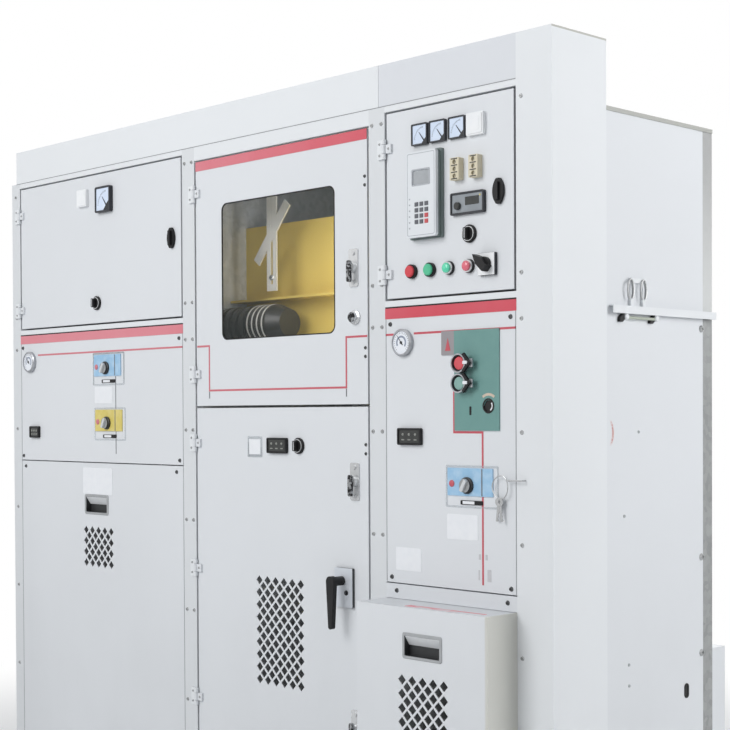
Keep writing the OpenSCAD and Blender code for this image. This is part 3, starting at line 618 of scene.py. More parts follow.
def solids(node):
    """Low and high corner of each separate solid of a CAD node, from the left, then from below."""
    mesh = bmesh.new()
    mesh.from_mesh(nodes[node].data)
    bmesh.ops.remove_doubles(mesh, verts=mesh.verts, dist=1e-6)
    waiting, found = set(mesh.verts), []
    while waiting:
        edge, group = [waiting.pop()], []
        while edge:
            vertex = edge.pop()
            group.append(vertex.co.copy())
            for link in vertex.link_edges:
                other = link.other_vert(vertex)
                if other in waiting:
                    waiting.remove(other)
                    edge.append(other)
        found.append((Vector(map(min, zip(*group))), Vector(map(max, zip(*group)))))
    mesh.free()
    return sorted(found, key=lambda corners: (round(corners[0].x, 2), corners[0].z))


def fading(strong, faded):
    """Vinyl that has bleached unevenly, more towards the left end of the line."""
    return lambda place: (0.25 * place.stretched(1, 1, 0.2).noise(9, 4)
                          + 0.60 * (1 - place.axis(0).rise(-0.5, 0.80))).between(strong, faded)


red_tape = new_finish("red_vinyl", fading(shade(204, 58, 76), shade(222, 152, 162)),
                      wavering(0.30, 0.15, 40, 3))
dress(red_tape, "marking_strips", "window_strip")
SEAL_HIGH, SEAL_THICK = 0.0034, 0.0011
edge_seal = Blank()
for low, high in solids("marking_strips"):
    edge_seal.plate(facing_front((low.x + high.x) / 2, high.z + SEAL_HIGH / 2),
                    block(high.x - low.x, SEAL_HIGH, 0.0008), SEAL_THICK)
piece("panel_edge_seals", edge_seal, rubber)
thin_red = new_finish("mimic_red", fading(shade(190, 72, 85), shade(211, 136, 145)), 0.45)
grey_tape = mottled("mimic_grey", 50, 2, (96, 99, 104), (122, 124, 128), 0.5)


def tapes(name, lines, width, finish, body, out=0.0):
    blank = Blank()
    for line in lines:
        blank.tape(facing_front(RIGHT, 0.0, out), [(-left, up) for left, up in line], width,
                   TAPE_THICK)
    return piece(name, blank, finish, body)


gap_grey = mottled("gap_grey", 30, 3, (128, 131, 134), (164, 167, 170), 0.7)
FASCIA_FOOT, PANEL_TOP, COVER_FOOT, RIGHT_FOOT = 1.9045, 1.4440, 0.0950, 0.8250
tapes("panel_gaps", [[(2.0640, FASCIA_FOOT), (0.0965, FASCIA_FOOT)],
                     [(2.0440, PANEL_TOP), (2.0440, COVER_FOOT)],
                     [(1.2430, PANEL_TOP), (1.2430, COVER_FOOT)],
                     [(0.4820, PANEL_TOP), (0.4820, RIGHT_FOOT)],
                     [(0.0980, PANEL_TOP), (0.0980, RIGHT_FOOT)]], PANEL_GAP, gap_grey, "cubicles")
BUS_LEVEL = 1.3855
tapes("left_mimic_line", [[(1.951, BUS_LEVEL), (1.242, BUS_LEVEL)]], TAPE, thin_red, "cubicles")
tapes("left_earth_line", [[(1.551, 1.3150), (1.551, 1.2225)], [(1.551, 1.1600), (1.551, 1.0980)]],
      EARTH_TAPE, grey_tape, "cubicles")
tapes("right_mimic_line", [[(0.483, BUS_LEVEL), (0.458, BUS_LEVEL)],
                           [(0.394, BUS_LEVEL), (0.097, BUS_LEVEL)],
                           [(0.2735, 1.256), (0.2735, 1.1655), (0.1910, 1.1655), (0.1910, 1.0890)],
                           [(0.1910, 1.0270), (0.1910, 0.8380)]], TAPE, thin_red, "cubicles")


# Gas gauges: turned stainless rims round a white dial with a pointer and a grey zone arc.
# The dials carry plain marks only.
dial_tree, size = shape_tree("dial_marks", {
    "Places": "Geometry", "Marks": "Int", "Radius": "Float", "Start": "Float", "Sweep": "Float",
    "Mark Length": "Float", "Mark Width": "Float", "Centre": "Vector", "Material": "Material"})
start = size["Places"]
count = start.node("GeometryNodeInputIndex", {}, {})
angle = size["Start"] + size["Sweep"] * count / (size["Marks"] - 1)
spoke = start.node("ShaderNodeCombineXYZ", {}, {0: angle.maths("COSINE", angle) * size["Radius"],
                                                2: angle.maths("SINE", angle) * size["Radius"]})
spot = start.node("ShaderNodeVectorMath", {"operation": "ADD"}, {0: spoke, 1: size["Centre"]})
ticks = start.node("GeometryNodePoints", {}, {"Count": size["Marks"], "Position": spot})
bar_size = start.node("ShaderNodeCombineXYZ", {}, {0: size["Mark Length"], 1: 0.0004,
                                                   2: size["Mark Width"]})
bar = start.node("GeometryNodeMeshCube", {}, {"Size": bar_size})
lean = start.node("ShaderNodeCombineXYZ", {}, {1: 0 - angle})
ticks = start.node("GeometryNodeInstanceOnPoints", {}, {"Points": ticks, "Instance": bar,
                                                        "Rotation": lean})
end_tree(dial_tree, ticks, size["Material"])

ink = mottled("dial_ink", 400, 2, (24, 25, 28), (52, 54, 58), 0.6)
dial_card = mottled("dial_card", 25, 3, (226, 231, 240), (238, 241, 246), 0.35, Coat_Weight=0.5,
                    Coat_Roughness=0.08)
steel_rim = mottled("turned_steel", 140, 3, (150, 153, 158), (192, 194, 198),
                    wavering(0.24, 0.16, 90, 3), Metallic=0.9)
dress(steel_rim, "gas_gauges")


def dial_marks(name, middle, out, marks, reach, first, sweep, length, body, width=0.0006):
    return set_out(name, dial_tree, {
        "Marks": marks, "Radius": reach, "Start": math.radians(first), "Sweep": math.radians(sweep),
        "Mark Length": length, "Mark Width": width, "Centre": (middle.x, FRONT - out, middle.z),
        "Material": ink}, body)


def arc(middle_radius, width, first, sweep, steps=24):
    """Outline of a band that follows part of a circle."""
    turns = [math.radians(first + sweep * i / steps) for i in range(steps + 1)]
    outer = [((middle_radius + width / 2) * math.cos(t), (middle_radius + width / 2) * math.sin(t))
             for t in turns]
    inner = [((middle_radius - width / 2) * math.cos(t), (middle_radius - width / 2) * math.sin(t))
             for t in turns]
    return outer + inner[::-1]


zone_grey = mottled("dial_zone", 80, 2, (128, 138, 158), (150, 158, 174), 0.5)
GAUGE_FACE, GAUGE_SUNK, CARD, NEEDLE_TURN = 0.0258, 0.0080, 0.0004, 128
NEEDLE = [(-0.007, -0.0011), (0.020, -0.0003), (0.020, 0.0003), (-0.007, 0.0011)]
HUB_PROFILE = [(0, 0), (0.0032, 0), (0.0032, 0.0022), (0.0024, 0.0028), (0, 0.0028)]
for side, (low, high) in zip(("left", "right"), solids("gas_gauges")):
    at = over(low, high, GAUGE_SUNK)
    dial = Blank().turned(at, [(0, 0), (GAUGE_FACE, 0), (GAUGE_FACE, CARD), (0, CARD)])
    piece(side + "_gauge_dial", dial, dial_card)
    piece(side + "_gauge_zone", Blank().plate(at, arc(0.0135, 0.0046, -40, 250), 0.0006), zone_grey)
    pointer = Blank().plate(at @ Matrix.Rotation(math.radians(NEEDLE_TURN), 4, "Z"), NEEDLE, 0.0015)
    piece(side + "_gauge_pointer", pointer.turned(at, HUB_PROFILE, 18), ink)
    dial_marks(side + "_gauge_marks", (low + high) / 2, GAUGE_SUNK + CARD, 21, 0.0215, -45, 270,
               0.004, "cubicles")


# Operating plates: printed plastic plates round the switch drives, two pale blue and one yellow.
# Each drive is a black boss with a light grey grip, in a clear bracket,
# with a small position window below it. The boss's black is partly painted shade.
plate_solids = solids("operating_plates")
yellow_high = plate_solids[0][1]


def plate_print(place):
    yellow = (place.axis(2) < yellow_high.z + 0.01) * (place.axis(0) < yellow_high.x + 0.02)
    worn = place.noise(45, 4).rise(0.35, 0.75)
    blue = worn.between(shade(150, 192, 224), shade(178, 208, 232))
    warm = worn.between(shade(214, 196, 104), shade(222, 207, 132))
    return yellow.between(blue, warm)


dress(new_finish("plate_print", plate_print, wavering(0.3, 0.15, 70, 2)), "operating_plates")
PLATE_OUT, BOSS_OUT = 0.0030, 0.0130


def boss_shade_and_grip(place):
    # Black behind the grip's face: partly the boss's own colour, partly painted shade.
    grip = (FRONT - place.axis(1)).rise(BOSS_OUT - 0.0006, BOSS_OUT + 0.0006)
    return grip.between(shade(26, 26, 28), shade(206, 209, 211))


dress(new_finish("drive_knob", boss_shade_and_grip, wavering(0.4, 0.15, 80, 2)), "operating_knobs")
clear_plastic = mottled("clear_plastic", 20, 2, (214, 222, 228), (228, 234, 238), 0.08, Alpha=0.28)
label_white = mottled("blank_plate", 60, 3, (228, 231, 236), (238, 240, 243),
                      wavering(0.35, 0.15, 50, 2))
brackets, windows, slides, stops = Blank(), Blank(), Blank(), Blank()
BRACKET_WIDE, BRACKET_HIGH, BRACKET_EDGE = 0.152, 0.092, 0.004
WINDOW_WIDE, WINDOW_HIGH, WINDOW_THICK, WINDOW_DROP = 0.064, 0.0095, 0.0024, 0.0145
STOP_PROFILE = [(0, 0), (0.0075, 0), (0.0075, 0.0012), (0.006, 0.002), (0, 0.002)]
for low, high in plate_solids:
    middle = (low + high) / 2
    brackets.frame(facing_front(middle.x + 0.004, low.z + 0.020),
                   block(BRACKET_WIDE, BRACKET_HIGH, 0.004),
                   block(BRACKET_WIDE - 2 * BRACKET_EDGE, BRACKET_HIGH - 2 * BRACKET_EDGE, 0.003),
                   0.0022)
    windows.plate(facing_front(middle.x + 0.004, low.z - WINDOW_DROP),
                  block(WINDOW_WIDE, WINDOW_HIGH, 0.002), WINDOW_THICK)
    slides.plate(facing_front(middle.x - 0.004, low.z - WINDOW_DROP, WINDOW_THICK),
                 block(0.034, 0.0065, 0.001), 0.0006)
    stops.turned(facing_front(low.x + 0.013, middle.z - 0.004, PLATE_OUT), STOP_PROFILE, 24)
piece("plate_brackets", brackets, clear_plastic)
piece("position_windows", windows, black_plastic)
piece("position_slides", slides, label_white)
piece("plate_stops", stops, thin_red)
tapes("plate_lines", [[(1.551, 1.3750), (1.551, 1.3170)], [(1.551, 1.2200), (1.551, 1.1620)],
                      [(0.191, 1.0870), (0.191, 1.0290)]], EARTH_TAPE, grey_tape, "cubicles",
      PLATE_OUT)
NOTE_PLATES = ((1.611, 1.2625, 0.086, 0.047), (0.250, 0.9595, 0.090, 0.055),
               (0.4135, 0.879, 0.079, 0.052))


def small_plates(name, spots, corner, thick, finish):
    """Flat plates on the fixed front: distance to the right end, level, width, height of each."""
    blank = Blank()
    for left, up, wide, high in spots:
        blank.plate(facing_front(RIGHT - left, up), block(wide, high, corner), thick)
    piece(name, blank, finish)


small_plates("note_plates", NOTE_PLATES, 0.003, 0.0008, label_white)


# Breaker plate: a steel plate painted grey-green, with a plain grey corner field and a crank hole.
# Its two plated push buttons have a red and a grey-green cap, and a black lock fork each.
FIELD_EDGE = RIGHT - 0.2705


def plate_fields(place):
    chipped = place.noise(30, 4)
    green = chipped.between(shade(98, 142, 138), shade(112, 154, 149))
    grey = chipped.between(shade(142, 138, 142), shade(156, 151, 154))
    return (place.axis(0) < FIELD_EDGE).between(green, grey)


breaker_paint = new_finish("breaker_green", plate_fields, wavering(0.34, 0.15, 12, 3),
                           lambda place: place.noise(420, 2), ORANGE_PEEL)
dress(breaker_paint, "breaker_plate")
dress(steel_rim, "breaker_buttons")
button_red = mottled("button_red", 60, 3, (204, 66, 78), (216, 92, 100), 0.34)
button_grey = mottled("button_grey_green", 60, 3, (120, 160, 154), (142, 180, 172), 0.34)
forks, tabs = Blank(), Blank()
RING_OUTER, CAP_RADIUS, CAP_OUT, WELL_OUT, FORK_OUT = 0.021, 0.0142, 0.0120, 0.0071, 0.0165
WELL_PROFILE = [(0.0148, 0), (0.0178, 0), (0.0178, 0.0006), (0.0148, 0.0006)]
for label, finish, (low, high) in zip(("lower", "upper"), (button_grey, button_red),
                                      solids("breaker_buttons")):
    x, z = low.x + RING_OUTER, (low.z + high.z) / 2
    cap = Blank().turned(facing_front(x, z, CAP_OUT), [
        (CAP_RADIUS, 0), (CAP_RADIUS, 0.0025), (CAP_RADIUS - 0.0015, 0.0038), (0, 0.0044)])
    piece(label + "_breaker_cap", cap, finish)
    well = Blank().turned(facing_front(x, z, WELL_OUT), WELL_PROFILE, closed=True)
    piece(label + "_breaker_well", well, black_plastic)
    forks.tape(facing_front(x, z, FORK_OUT), [(0.017, 0.020), (0.034, 0.001), (0.017, -0.018)],
               0.0065, 0.006)
    tabs.plate(facing_front(x + 0.025, z + 0.001, FORK_OUT + 0.0005), block(0.013, 0.007, 0.002),
               0.0075)
piece("lock_forks", forks, black_plastic)
piece("lock_tabs", tabs, label_white)
CRANK_X, CRANK_Z = RIGHT - 0.1715, 1.2222
crank = facing_front(CRANK_X, CRANK_Z)
# A black disc down in the crank hole is painted shade; the black ring round it is a collar.
socket = Blank().turned(crank, [(0, 0), (0.0128, 0), (0.0128, 0.0008), (0, 0.0008)])
socket.turned(crank, [(0.0126, 0.0008), (0.0162, 0.0031), (0.0162, 0.0040), (0.0130, 0.0044)], 40,
              True)
piece("crank_collar_and_hole_shade", socket, rubber)
# The white arc on the hole's right inner side is a painted highlight of its lit wall.
piece("crank_hole_highlight", Blank().plate(facing_front(CRANK_X, CRANK_Z, 0.0008),
                                 arc(0.0105, 0.0034, -62, 100), 0.0030), label_white)
tan = mottled("tan_print", 90, 3, (196, 178, 160), (212, 196, 180), 0.5)
piece("crank_arc", Blank().plate(facing_front(CRANK_X, CRANK_Z - 0.002, PLATE_OUT),
                                 arc(0.0265, 0.0055, 52, 76), 0.0005), tan)
counter_slot = Blank().plate(facing_front(RIGHT - 0.223, 1.212, PLATE_OUT),
                             block(0.0055, 0.019, 0.002), 0.0009)
piece("counter_slot", counter_slot, black_plastic)
pointer = Blank().plate(facing_front(RIGHT - 0.2885, 1.356, PLATE_OUT),
                        [(-0.008, -0.013), (0.008, -0.013), (0.0, 0.015)], 0.0006)
piece("spring_pointer", pointer, thin_red)
CABLE_SYMBOLS = ((0.200, 0.898, 0.006, 0.012), (0.181, 0.898, 0.006, 0.012),
                 (0.202, 0.859, 0.004, 0.022), (0.173, 0.859, 0.011, 0.026))
faint_print = mottled("faint_print", 120, 3, (186, 186, 190), (206, 206, 209), 0.5)
small_plates("cable_symbols", CABLE_SYMBOLS, 0.001, TAPE_THICK, faint_print)


# Voltage displays: black moulded frames with a smoked window over a dark board.
# Three indicator lights show in each window as small grey lenses.
smoked = mottled("smoked_window", 70, 3, (34, 36, 36), (62, 64, 62), wavering(0.16, 0.12, 30, 2))
lens_grey = mottled("lens_grey", 200, 2, (128, 130, 126), (158, 160, 154), 0.2)
dress(black_plastic, "panel_displays", "metering_display")
DISPLAY_RIM, DISPLAY_FACE = 0.004, 0.0065


def display(name, low, high, body):
    wide, tall = high.x - low.x - 2 * DISPLAY_RIM, high.z - low.z - 2 * DISPLAY_RIM
    at = over(low, high, DISPLAY_FACE)
    piece(name + "_window", Blank().plate(at, block(wide - 0.0006, tall - 0.0006, 0.001), 0.0006),
          smoked, body)
    lenses = Blank()
    for across in (-0.3, 0.0, 0.3):
        lenses.turned(shifted(at, across * wide, 0.16 * tall, 0.0006),
                      [(0, 0), (0.0032, 0), (0.0028, 0.0010), (0, 0.0014)], 16)
        lenses.plate(shifted(at, across * wide, -0.24 * tall, 0.0006), block(0.009, 0.0026, 0.0008),
                     0.0004)
    piece(name + "_lenses", lenses, lens_grey, body)


for side, (low, high) in zip(("left", "right"), solids("panel_displays")):
    display(side + "_display", low, high, "cubicles")


# Key ring: two flat keys on a wire ring that hangs from a pin in the trim.
# Ring, pin and keys are nickel-plated steel.
RING_MIDDLE = Vector((RIGHT - 0.1345, FRONT - 0.010, 1.0505))
PIN_END = Vector((RIGHT - 0.072, FRONT, 1.0655))
RING_RADIUS, RING_WIRE, PIN_WIRE, KEY_THICK = 0.0215, 0.0012, 0.0016, 0.0018
ring_path = [RING_MIDDLE + RING_RADIUS
             * Vector((math.cos(t), 0, (1.12 + 0.16 * math.cos(t)) * math.sin(t)))
             for t in (2 * math.pi * i / 36 for i in range(37))]
wires = Blank().rod(ring_path, RING_WIRE)
wires.rod([PIN_END, PIN_END + Vector((0, -0.012, 0)), RING_MIDDLE + Vector((0.020, -0.002, 0.014))],
          PIN_WIRE)
piece("key_ring", wires, plated)
KEY_BLADE = [(-0.0036, -0.050), (0.0012, -0.050), (0.0032, -0.047), (0.0012, -0.043),
             (0.0032, -0.039), (0.0012, -0.035), (0.0036, -0.030), (0.0036, -0.0165),
             (-0.0036, -0.0165)]
KEY_BOW = [(0.0032, 0), (0.0095, 0), (0.0095, KEY_THICK), (0.0032, KEY_THICK)]
keys = Blank()
for lean, step in ((-6, 0.0), (9, 0.003)):
    hang = facing_front(RING_MIDDLE.x - 0.004 + step, RING_MIDDLE.z - 0.0235, 0.007 + step)
    hang = hang @ Matrix.Rotation(math.radians(lean), 4, "Z")
    keys.turned(shifted(hang, 0, -0.008, 0), KEY_BOW, 24, closed=True)
    keys.plate(hang, KEY_BLADE, KEY_THICK)
piece("keys", keys, plated)


# Cable covers: lift-off pans of the light grey sheet with punched diamond vents.
# Each has a recessed pull: a dark moulded cup with a grey rim and a painted lip that slopes in
# over the finger space. The ledge of the right-hand box has a patchy pale red mark along it.
box_low, box_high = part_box("right_cable_box")
END_FOLD = 0.010


# The box's right end face is drawn a darker grey: painted shade.
def box_end_shade(place):
    return place.axis(0).rise(box_high.x - END_FOLD, box_high.x - 0.4 * END_FOLD)


# A patchy pale red mark along the ledge of the right-hand box.
def red_ledge_patches(place):
    red_patches = place.stretched(0.25, 1, 1).noise(48, 3).rise(0.32, 0.52)
    return red_patches.between(shade(214, 216, 220), shade(226, 146, 155))


box_paint_shaded_end = powder_coat("box_paint_shaded_end", PANEL_LIGHT, PANEL_DARK, box_end_shade, shade(203, 203, 197))
dress(panel_paint, "left_cable_cover")
dress(box_paint_shaded_end, "right_cable_box")
mark_from, mark_to, mark_y = box_low.x + 0.135, box_high.x - 0.030, box_low.y + 0.024
ledge = top_of("right_cable_box", mark_from, mark_y).z
ledge_red_mark = Blank().plate(Matrix.Translation(((mark_from + mark_to) / 2, mark_y, ledge)),
                           block(mark_to - mark_from, 0.020, 0.002), TAPE_THICK)
piece("ledge_red_mark", ledge_red_mark, new_finish("patchy_red_mark", red_ledge_patches, 0.5))
cup_plastic = mottled("cup_plastic", 40, 3, (24, 25, 27), (46, 48, 50), wavering(0.45, 0.15, 90, 2))
dress(cup_plastic, "pull_cups")
lip_paint = mottled("lip_paint", 50, 3, (212, 215, 218), (226, 228, 230), 0.3, Metallic=0.2)
rim_grey = mottled("pull_rim_grey", 50, 3, (158, 161, 164), (180, 182, 184), 0.35, Metallic=0.3)
PULL_FLANGE, PULL_WALL, RIM_THICK = 0.0045, 0.002, 0.0022
LIP_TOP, LIP_LONG, LIP_THICK, LIP_SLOPE = 0.0215, 0.025, 0.0016, 34
for side, (low, high) in zip(("left", "right"), solids("pull_cups")):
    wide, tall = high.x - low.x, high.z - low.z
    at = over(low, high, FRONT - low.y)
    rim = Blank().frame(at, block(wide + 2 * PULL_FLANGE, tall + 2 * PULL_FLANGE, 0.006),
                        block(wide - 2 * PULL_WALL, tall - 2 * PULL_WALL, 0.003), RIM_THICK, 0.001)
    piece(side + "_pull_rim", rim, rim_grey)
    slope = shifted(at, 0, LIP_TOP, 0.0) @ Matrix.Rotation(math.radians(LIP_SLOPE), 4, "X")
    lip = Blank().plate(shifted(slope, 0, -LIP_LONG / 2, 0),
                        block(wide - 3 * PULL_WALL, LIP_LONG, 0.002), LIP_THICK)
    piece(side + "_pull_lip", lip, lip_paint)
small_plates("name_plate", ((1.643, 1.019, 0.146, 0.076),), 0.005, 0.0012, label_white)


# Left control door: a sheet pan on butt hinges, with a moving-iron meter and a white blank module.
# Moulded cases with press-in frames; the meter's pivot cover fills the lower right of its face.
dress(panel_paint, "left_control_door", "right_control_door", "window_door", "metering_door")
module_white = shade(238, 240, 242)
left_square, big_meter = solids("left_door_meters")


def case_black(place):
    return place.noise(30, 3).between(shade(20, 22, 28), shade(40, 43, 52))


def left_cases(place):
    return (place.axis(0) < left_square[1].x + 0.002).between(case_black(place), module_white)


dress(new_finish("left_cases", left_cases, wavering(0.32, 0.15, 60, 2)), "left_door_meters")
white_plastic = mottled("white_plastic", 40, 3, (232, 235, 238), (244, 245, 246),
                        wavering(0.32, 0.15, 60, 2))
meter_card = mottled("meter_card", 30, 3, (204, 220, 244), (222, 233, 248), 0.25, Coat_Weight=0.6,
                     Coat_Roughness=0.05)
METER_SUNK, METER_NEEDLE = 0.0025, 128


def meter(name, low, high, rim, cover_size, body):
    """Pale dial card, scale marks, needle and pivot cover inside a meter's frame."""
    wide, out = high.x - low.x - 2 * rim, FRONT - low.y - METER_SUNK
    at = over(low, high, out)
    piece(name + "_card", Blank().plate(at, block(wide - 0.0006, wide - 0.0006, 0.0006), 0.0005),
          meter_card, body)
    pivot = (low + high) / 2 + 0.30 * wide * Vector((1, 0, -1))
    dial_marks(name + "_marks", pivot, out + 0.0006, 19, 0.66 * wide, 95, 80, 0.075 * wide, body,
               0.011 * wide)
    corner, reach = 0.5 * wide - 0.0005, cover_size * wide
    cover = Blank().plate(shifted(at, 0, 0, 0.0005), [
        (corner, -corner), (corner, reach - corner), (corner - 0.3 * reach, 0.75 * reach - corner),
        (corner - 0.75 * reach, 0.3 * reach - corner), (corner - reach, -corner)], 0.0012)
    hub = shifted(at, 0.30 * wide, -0.30 * wide, 0.0012)
    hub = hub @ Matrix.Rotation(math.radians(METER_NEEDLE), 4, "Z")
    cover.plate(hub, [(u * wide, v * wide) for u, v in (
        (-0.08, -0.035), (0.52, -0.010), (0.52, 0.010), (-0.08, 0.035))], 0.0008)
    piece(name + "_needle", cover, ink, body)


def module_cover(name, low, high, body):
    """Eased front cover of a blank module, with a fine step round it."""
    wide = high.x - low.x
    at = over(low, high, FRONT - low.y)
    cover = Blank().plate(at, block(wide - 0.005, wide - 0.005, 0.004), 0.0018, 0.0012)
    cover.plate(shifted(at, 0, 0, 0.0018), block(wide - 0.018, wide - 0.018, 0.003), 0.0006)
    piece(name, cover, white_plastic, body)


meter("left_meter", *big_meter, 0.005, 0.42, "left_control_door")
module_cover("left_module_cover", *left_square, "left_control_door")


# Latches and selectors: black moulded quarter-turn latches, and turn knobs in a plated ring.
# The rings and the black flanges sit on the door; a white line on each grip shows the position.
dress(black_plastic, "left_latch", "right_latch", "left_selector", "right_selector",
      "metering_selector", "rotary_handle", "lever_handle")
chrome = mottled("plated_casting", 14, 3, (186, 188, 190), (220, 221, 222),
                 wavering(0.14, 0.18, 18, 3), Metallic=0.92)


def collar(name, at, inner, outer, high, ease, finish, body, base=0.0, sides=40):
    """Turned ring whose front edge is eased by a distance in and a distance down."""
    inwards, down = ease
    profile = [(inner, base), (outer, base), (outer, high - down), (outer - inwards, high),
               (inner, high)]
    piece(name, Blank().turned(at, profile, sides, True), finish, body)


for node, body in (("left_selector", "left_control_door"), ("metering_selector", "metering_door"),
                   ("right_selector", "right_control_door")):
    low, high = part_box(node)
    at = over(low, high)
    collar(node + "_ring", at, 0.0146, 0.0164, 0.0082, (0.0006, 0.0007), chrome, body)
    collar(node + "_flange", at, 0.0165, 0.0195, 0.0055, (0.0010, 0.0010), black_plastic, body)
    line = Blank().plate(over(low, high, FRONT - low.y), block(0.0016, 0.021, 0.0006), 0.0004)
    piece(node + "_line", line, label_white, node)
for node, body in (("left_latch", "left_control_door"), ("right_latch", "right_control_door")):
    collar(node + "_seat", over(*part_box(node)), 0.0052, 0.0125, 0.0009, (0.0005, 0.0003),
           black_plastic, body, sides=32)


# Window door: a sheet pan with a clear safety pane held in a black rubber profile.
# The red marking strip runs along its head, the mimic line frames the lower part.
pane_low, pane_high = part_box("window_pane")
PANE_LAP, SEAL_SUNK, SEAL_LIP = 0.018, 0.0021, 0.0028
window = (pane_low + pane_high) / 2
window_wide, window_tall = (pane_high[i] - pane_low[i] - 2 * PANE_LAP for i in (0, 2))
pane = mottled("safety_pane", 5, 2, (96, 104, 104), (112, 120, 118), 0.04, Alpha=0.10)
dress(pane, "window_pane")
seal = Blank().frame(facing_front(window.x, window.z, -SEAL_SUNK),
                     block(window_wide + 0.001, window_tall + 0.001, 0.0200, 9),
                     block(window_wide - 0.005, window_tall - 0.005, 0.0175, 9), SEAL_LIP)
piece("window_seal", seal, rubber, "window_door")
tapes("window_mimic_line",
      [[(1.180, 1.3835), (1.1295, 1.3835), (1.1295, 1.2685), (0.614, 1.2685), (0.614, 1.3860),
        (0.5435, 1.3860)]], TAPE, thin_red, "window_door")
tapes("window_earth_ends", [[(1.1295, 1.2655), (1.1295, 1.2480)],
                            [(0.614, 1.2655), (0.614, 1.2470)]], EARTH_TAPE, grey_tape,
      "window_door")
RIVET_LINE, DOOR_RIVET = 0.5495, 0.0042
DOOR_RIVETS = {"window_door": (1.754, 1.734, 1.359, 1.339),
               "metering_door": (1.135, 1.114, 0.330, 0.310)}
for body, levels in DOOR_RIVETS.items():
    screws(body + "_rivets", [(RIGHT - RIVET_LINE, FRONT, up) for up in levels], TO_FRONT,
           DOOR_RIVET, dark_screw, body)


# Metering compartment: a yellow insulating board with its ledge, plated flat bars,
# and a ribbed cast-resin transformer on a zinc shelf.
def aged_yellow(place):
    grain = place.stretched(1, 1, 0.3).noise(7, 4)
    return grain.between(shade(222, 197, 103), shade(204, 176, 84))


board = new_finish("yellow_board", aged_yellow, wavering(0.4, 0.2, 14, 3))
dress(board, "barrier_board")


def drawn_grain(place):
    grain = place.stretched(1, 1, 0.06).noise(120, 3)
    return grain.between(shade(214, 213, 208), shade(238, 237, 233))


bright_bar = new_finish("plated_bar", drawn_grain, wavering(0.30, 0.2, 50, 3), Metallic=0.35)
dress(bright_bar, "stay_bars")


def resin(place):
    # Black resin, paler in patches over its top.
    height_patches = place.axis(2).rise(1.40, 1.49) * place.noise(30, 3)
    return height_patches.between(shade(22, 21, 21), shade(66, 63, 58))


dress(new_finish("cast_resin", resin, wavering(0.22, 0.25, 30, 3)), "instrument_transformer")
coil_low, coil_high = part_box("instrument_transformer")
coil_mid = (coil_low + coil_high) / 2
coil_pitch, coil_radius = (coil_high.x - coil_low.x) / 8, (coil_high.z - coil_low.z) / 2
BAND_STEPS, BAND_HALF = (4.25, 4.9, 5.55, 6.2), 0.0022
band_inner, band_outer = coil_radius - 0.0005, coil_radius + 0.0012
bands = Blank()
for step in BAND_STEPS:
    at = Matrix.Translation((coil_low.x + step * coil_pitch, coil_mid.y, coil_mid.z))
    bands.turned(at @ Matrix.Rotation(math.pi / 2, 4, "Y"),
                 [(band_inner, -BAND_HALF), (band_outer, -BAND_HALF), (band_outer, BAND_HALF),
                  (band_inner, BAND_HALF)], 48, True)
piece("transformer_bands", bands, bright_bar)
BAR_LINE, BAR_BOLTS, BAR_HEAD = 1.0205, (1.560, 1.838), 0.008
bar_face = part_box("stay_bars")[0].y
screws("bar_bolts", [(RIGHT - BAR_LINE, bar_face, up) for up in BAR_BOLTS], TO_FRONT, BAR_HEAD,
       plated)


# Hasps and locks of the two middle doors: plated die castings on a back plate with a lock barrel.
# Their pulls carry dark and light patches of painted reflection, and each lock has a black key
# slot.
PULL_OUT = 0.0132


def hasp_metal(place):
    pull = (FRONT - place.axis(1)).rise(PULL_OUT, PULL_OUT + 0.0006)
    # Dark and light patches on the pull: painted reflection.
    painted_reflection = place.noise(120, 2).rise(0.42, 0.58)
    return pull.between(place.noise(14, 3).between(shade(190, 192, 194), shade(224, 225, 226)),
                        painted_reflection.between(shade(30, 30, 32), shade(158, 160, 162)))


dress(new_finish("hasp_casting", hasp_metal, wavering(0.16, 0.18, 18, 3), Metallic=0.6),
      "window_hasp", "metering_hasps")
PLATE_TALL, BARREL_UP, BARREL_BACK = 0.06, 0.010, 0.007
for body, node in (("window_door", "window_hasp"), ("metering_door", "metering_hasps")):
    key_slots = Blank()
    for low, high in solids(node):
        middle, out, thick = (low + high) / 2, FRONT - low.y, 0.0004
        if high.z - low.z > PLATE_TALL:
            middle.z, out, thick = middle.z + BARREL_UP, out - BARREL_BACK, 0.0008
        key_slots.plate(facing_front(middle.x, middle.z, out), block(0.0020, 0.0090, 0.0008), thick)
    piece(body + "_key_slots", key_slots, ink, body)


# Swing lever: a black cast arm on a hub, over a plate with a pale front and dark edges.
# The plate is a zinc casting; its keyhole has a black ring.
PLATE_FACE = 0.0074


def pale_front(place):
    face = (FRONT - place.axis(1)).rise(PLATE_FACE - 0.0004, PLATE_FACE)
    return face.between(shade(58, 60, 62), shade(214, 219, 226))


dress(new_finish("lever_plate", pale_front, wavering(0.28, 0.15, 60, 3), Metallic=0.25),
      "lever_plate")
low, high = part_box("lever_plate")
keyhole = facing_front((low.x + high.x) / 2 + 0.010, (low.z + high.z) / 2 - 0.012, 0.008)
KEYHOLE_PROFILE = [(0.0036, 0), (0.0062, 0), (0.0058, 0.0012), (0.0036, 0.0012)]
piece("keyhole_ring", Blank().turned(keyhole, KEYHOLE_PROFILE, 24, True), black_plastic,
      "metering_door")
LABEL_LEFT, LABEL_LEVEL, LABEL_BACK = 0.948, 1.1255, 0.0008
label = facing_front(RIGHT - LABEL_LEFT, LABEL_LEVEL)
label_holder = Blank().frame(label, block(0.056, 0.052, 0.003), block(0.048, 0.044, 0.002), 0.0020)
label_holder.plate(label, block(0.050, 0.046, 0.002), LABEL_BACK)
piece("label_holder", label_holder, clear_plastic, "metering_door")
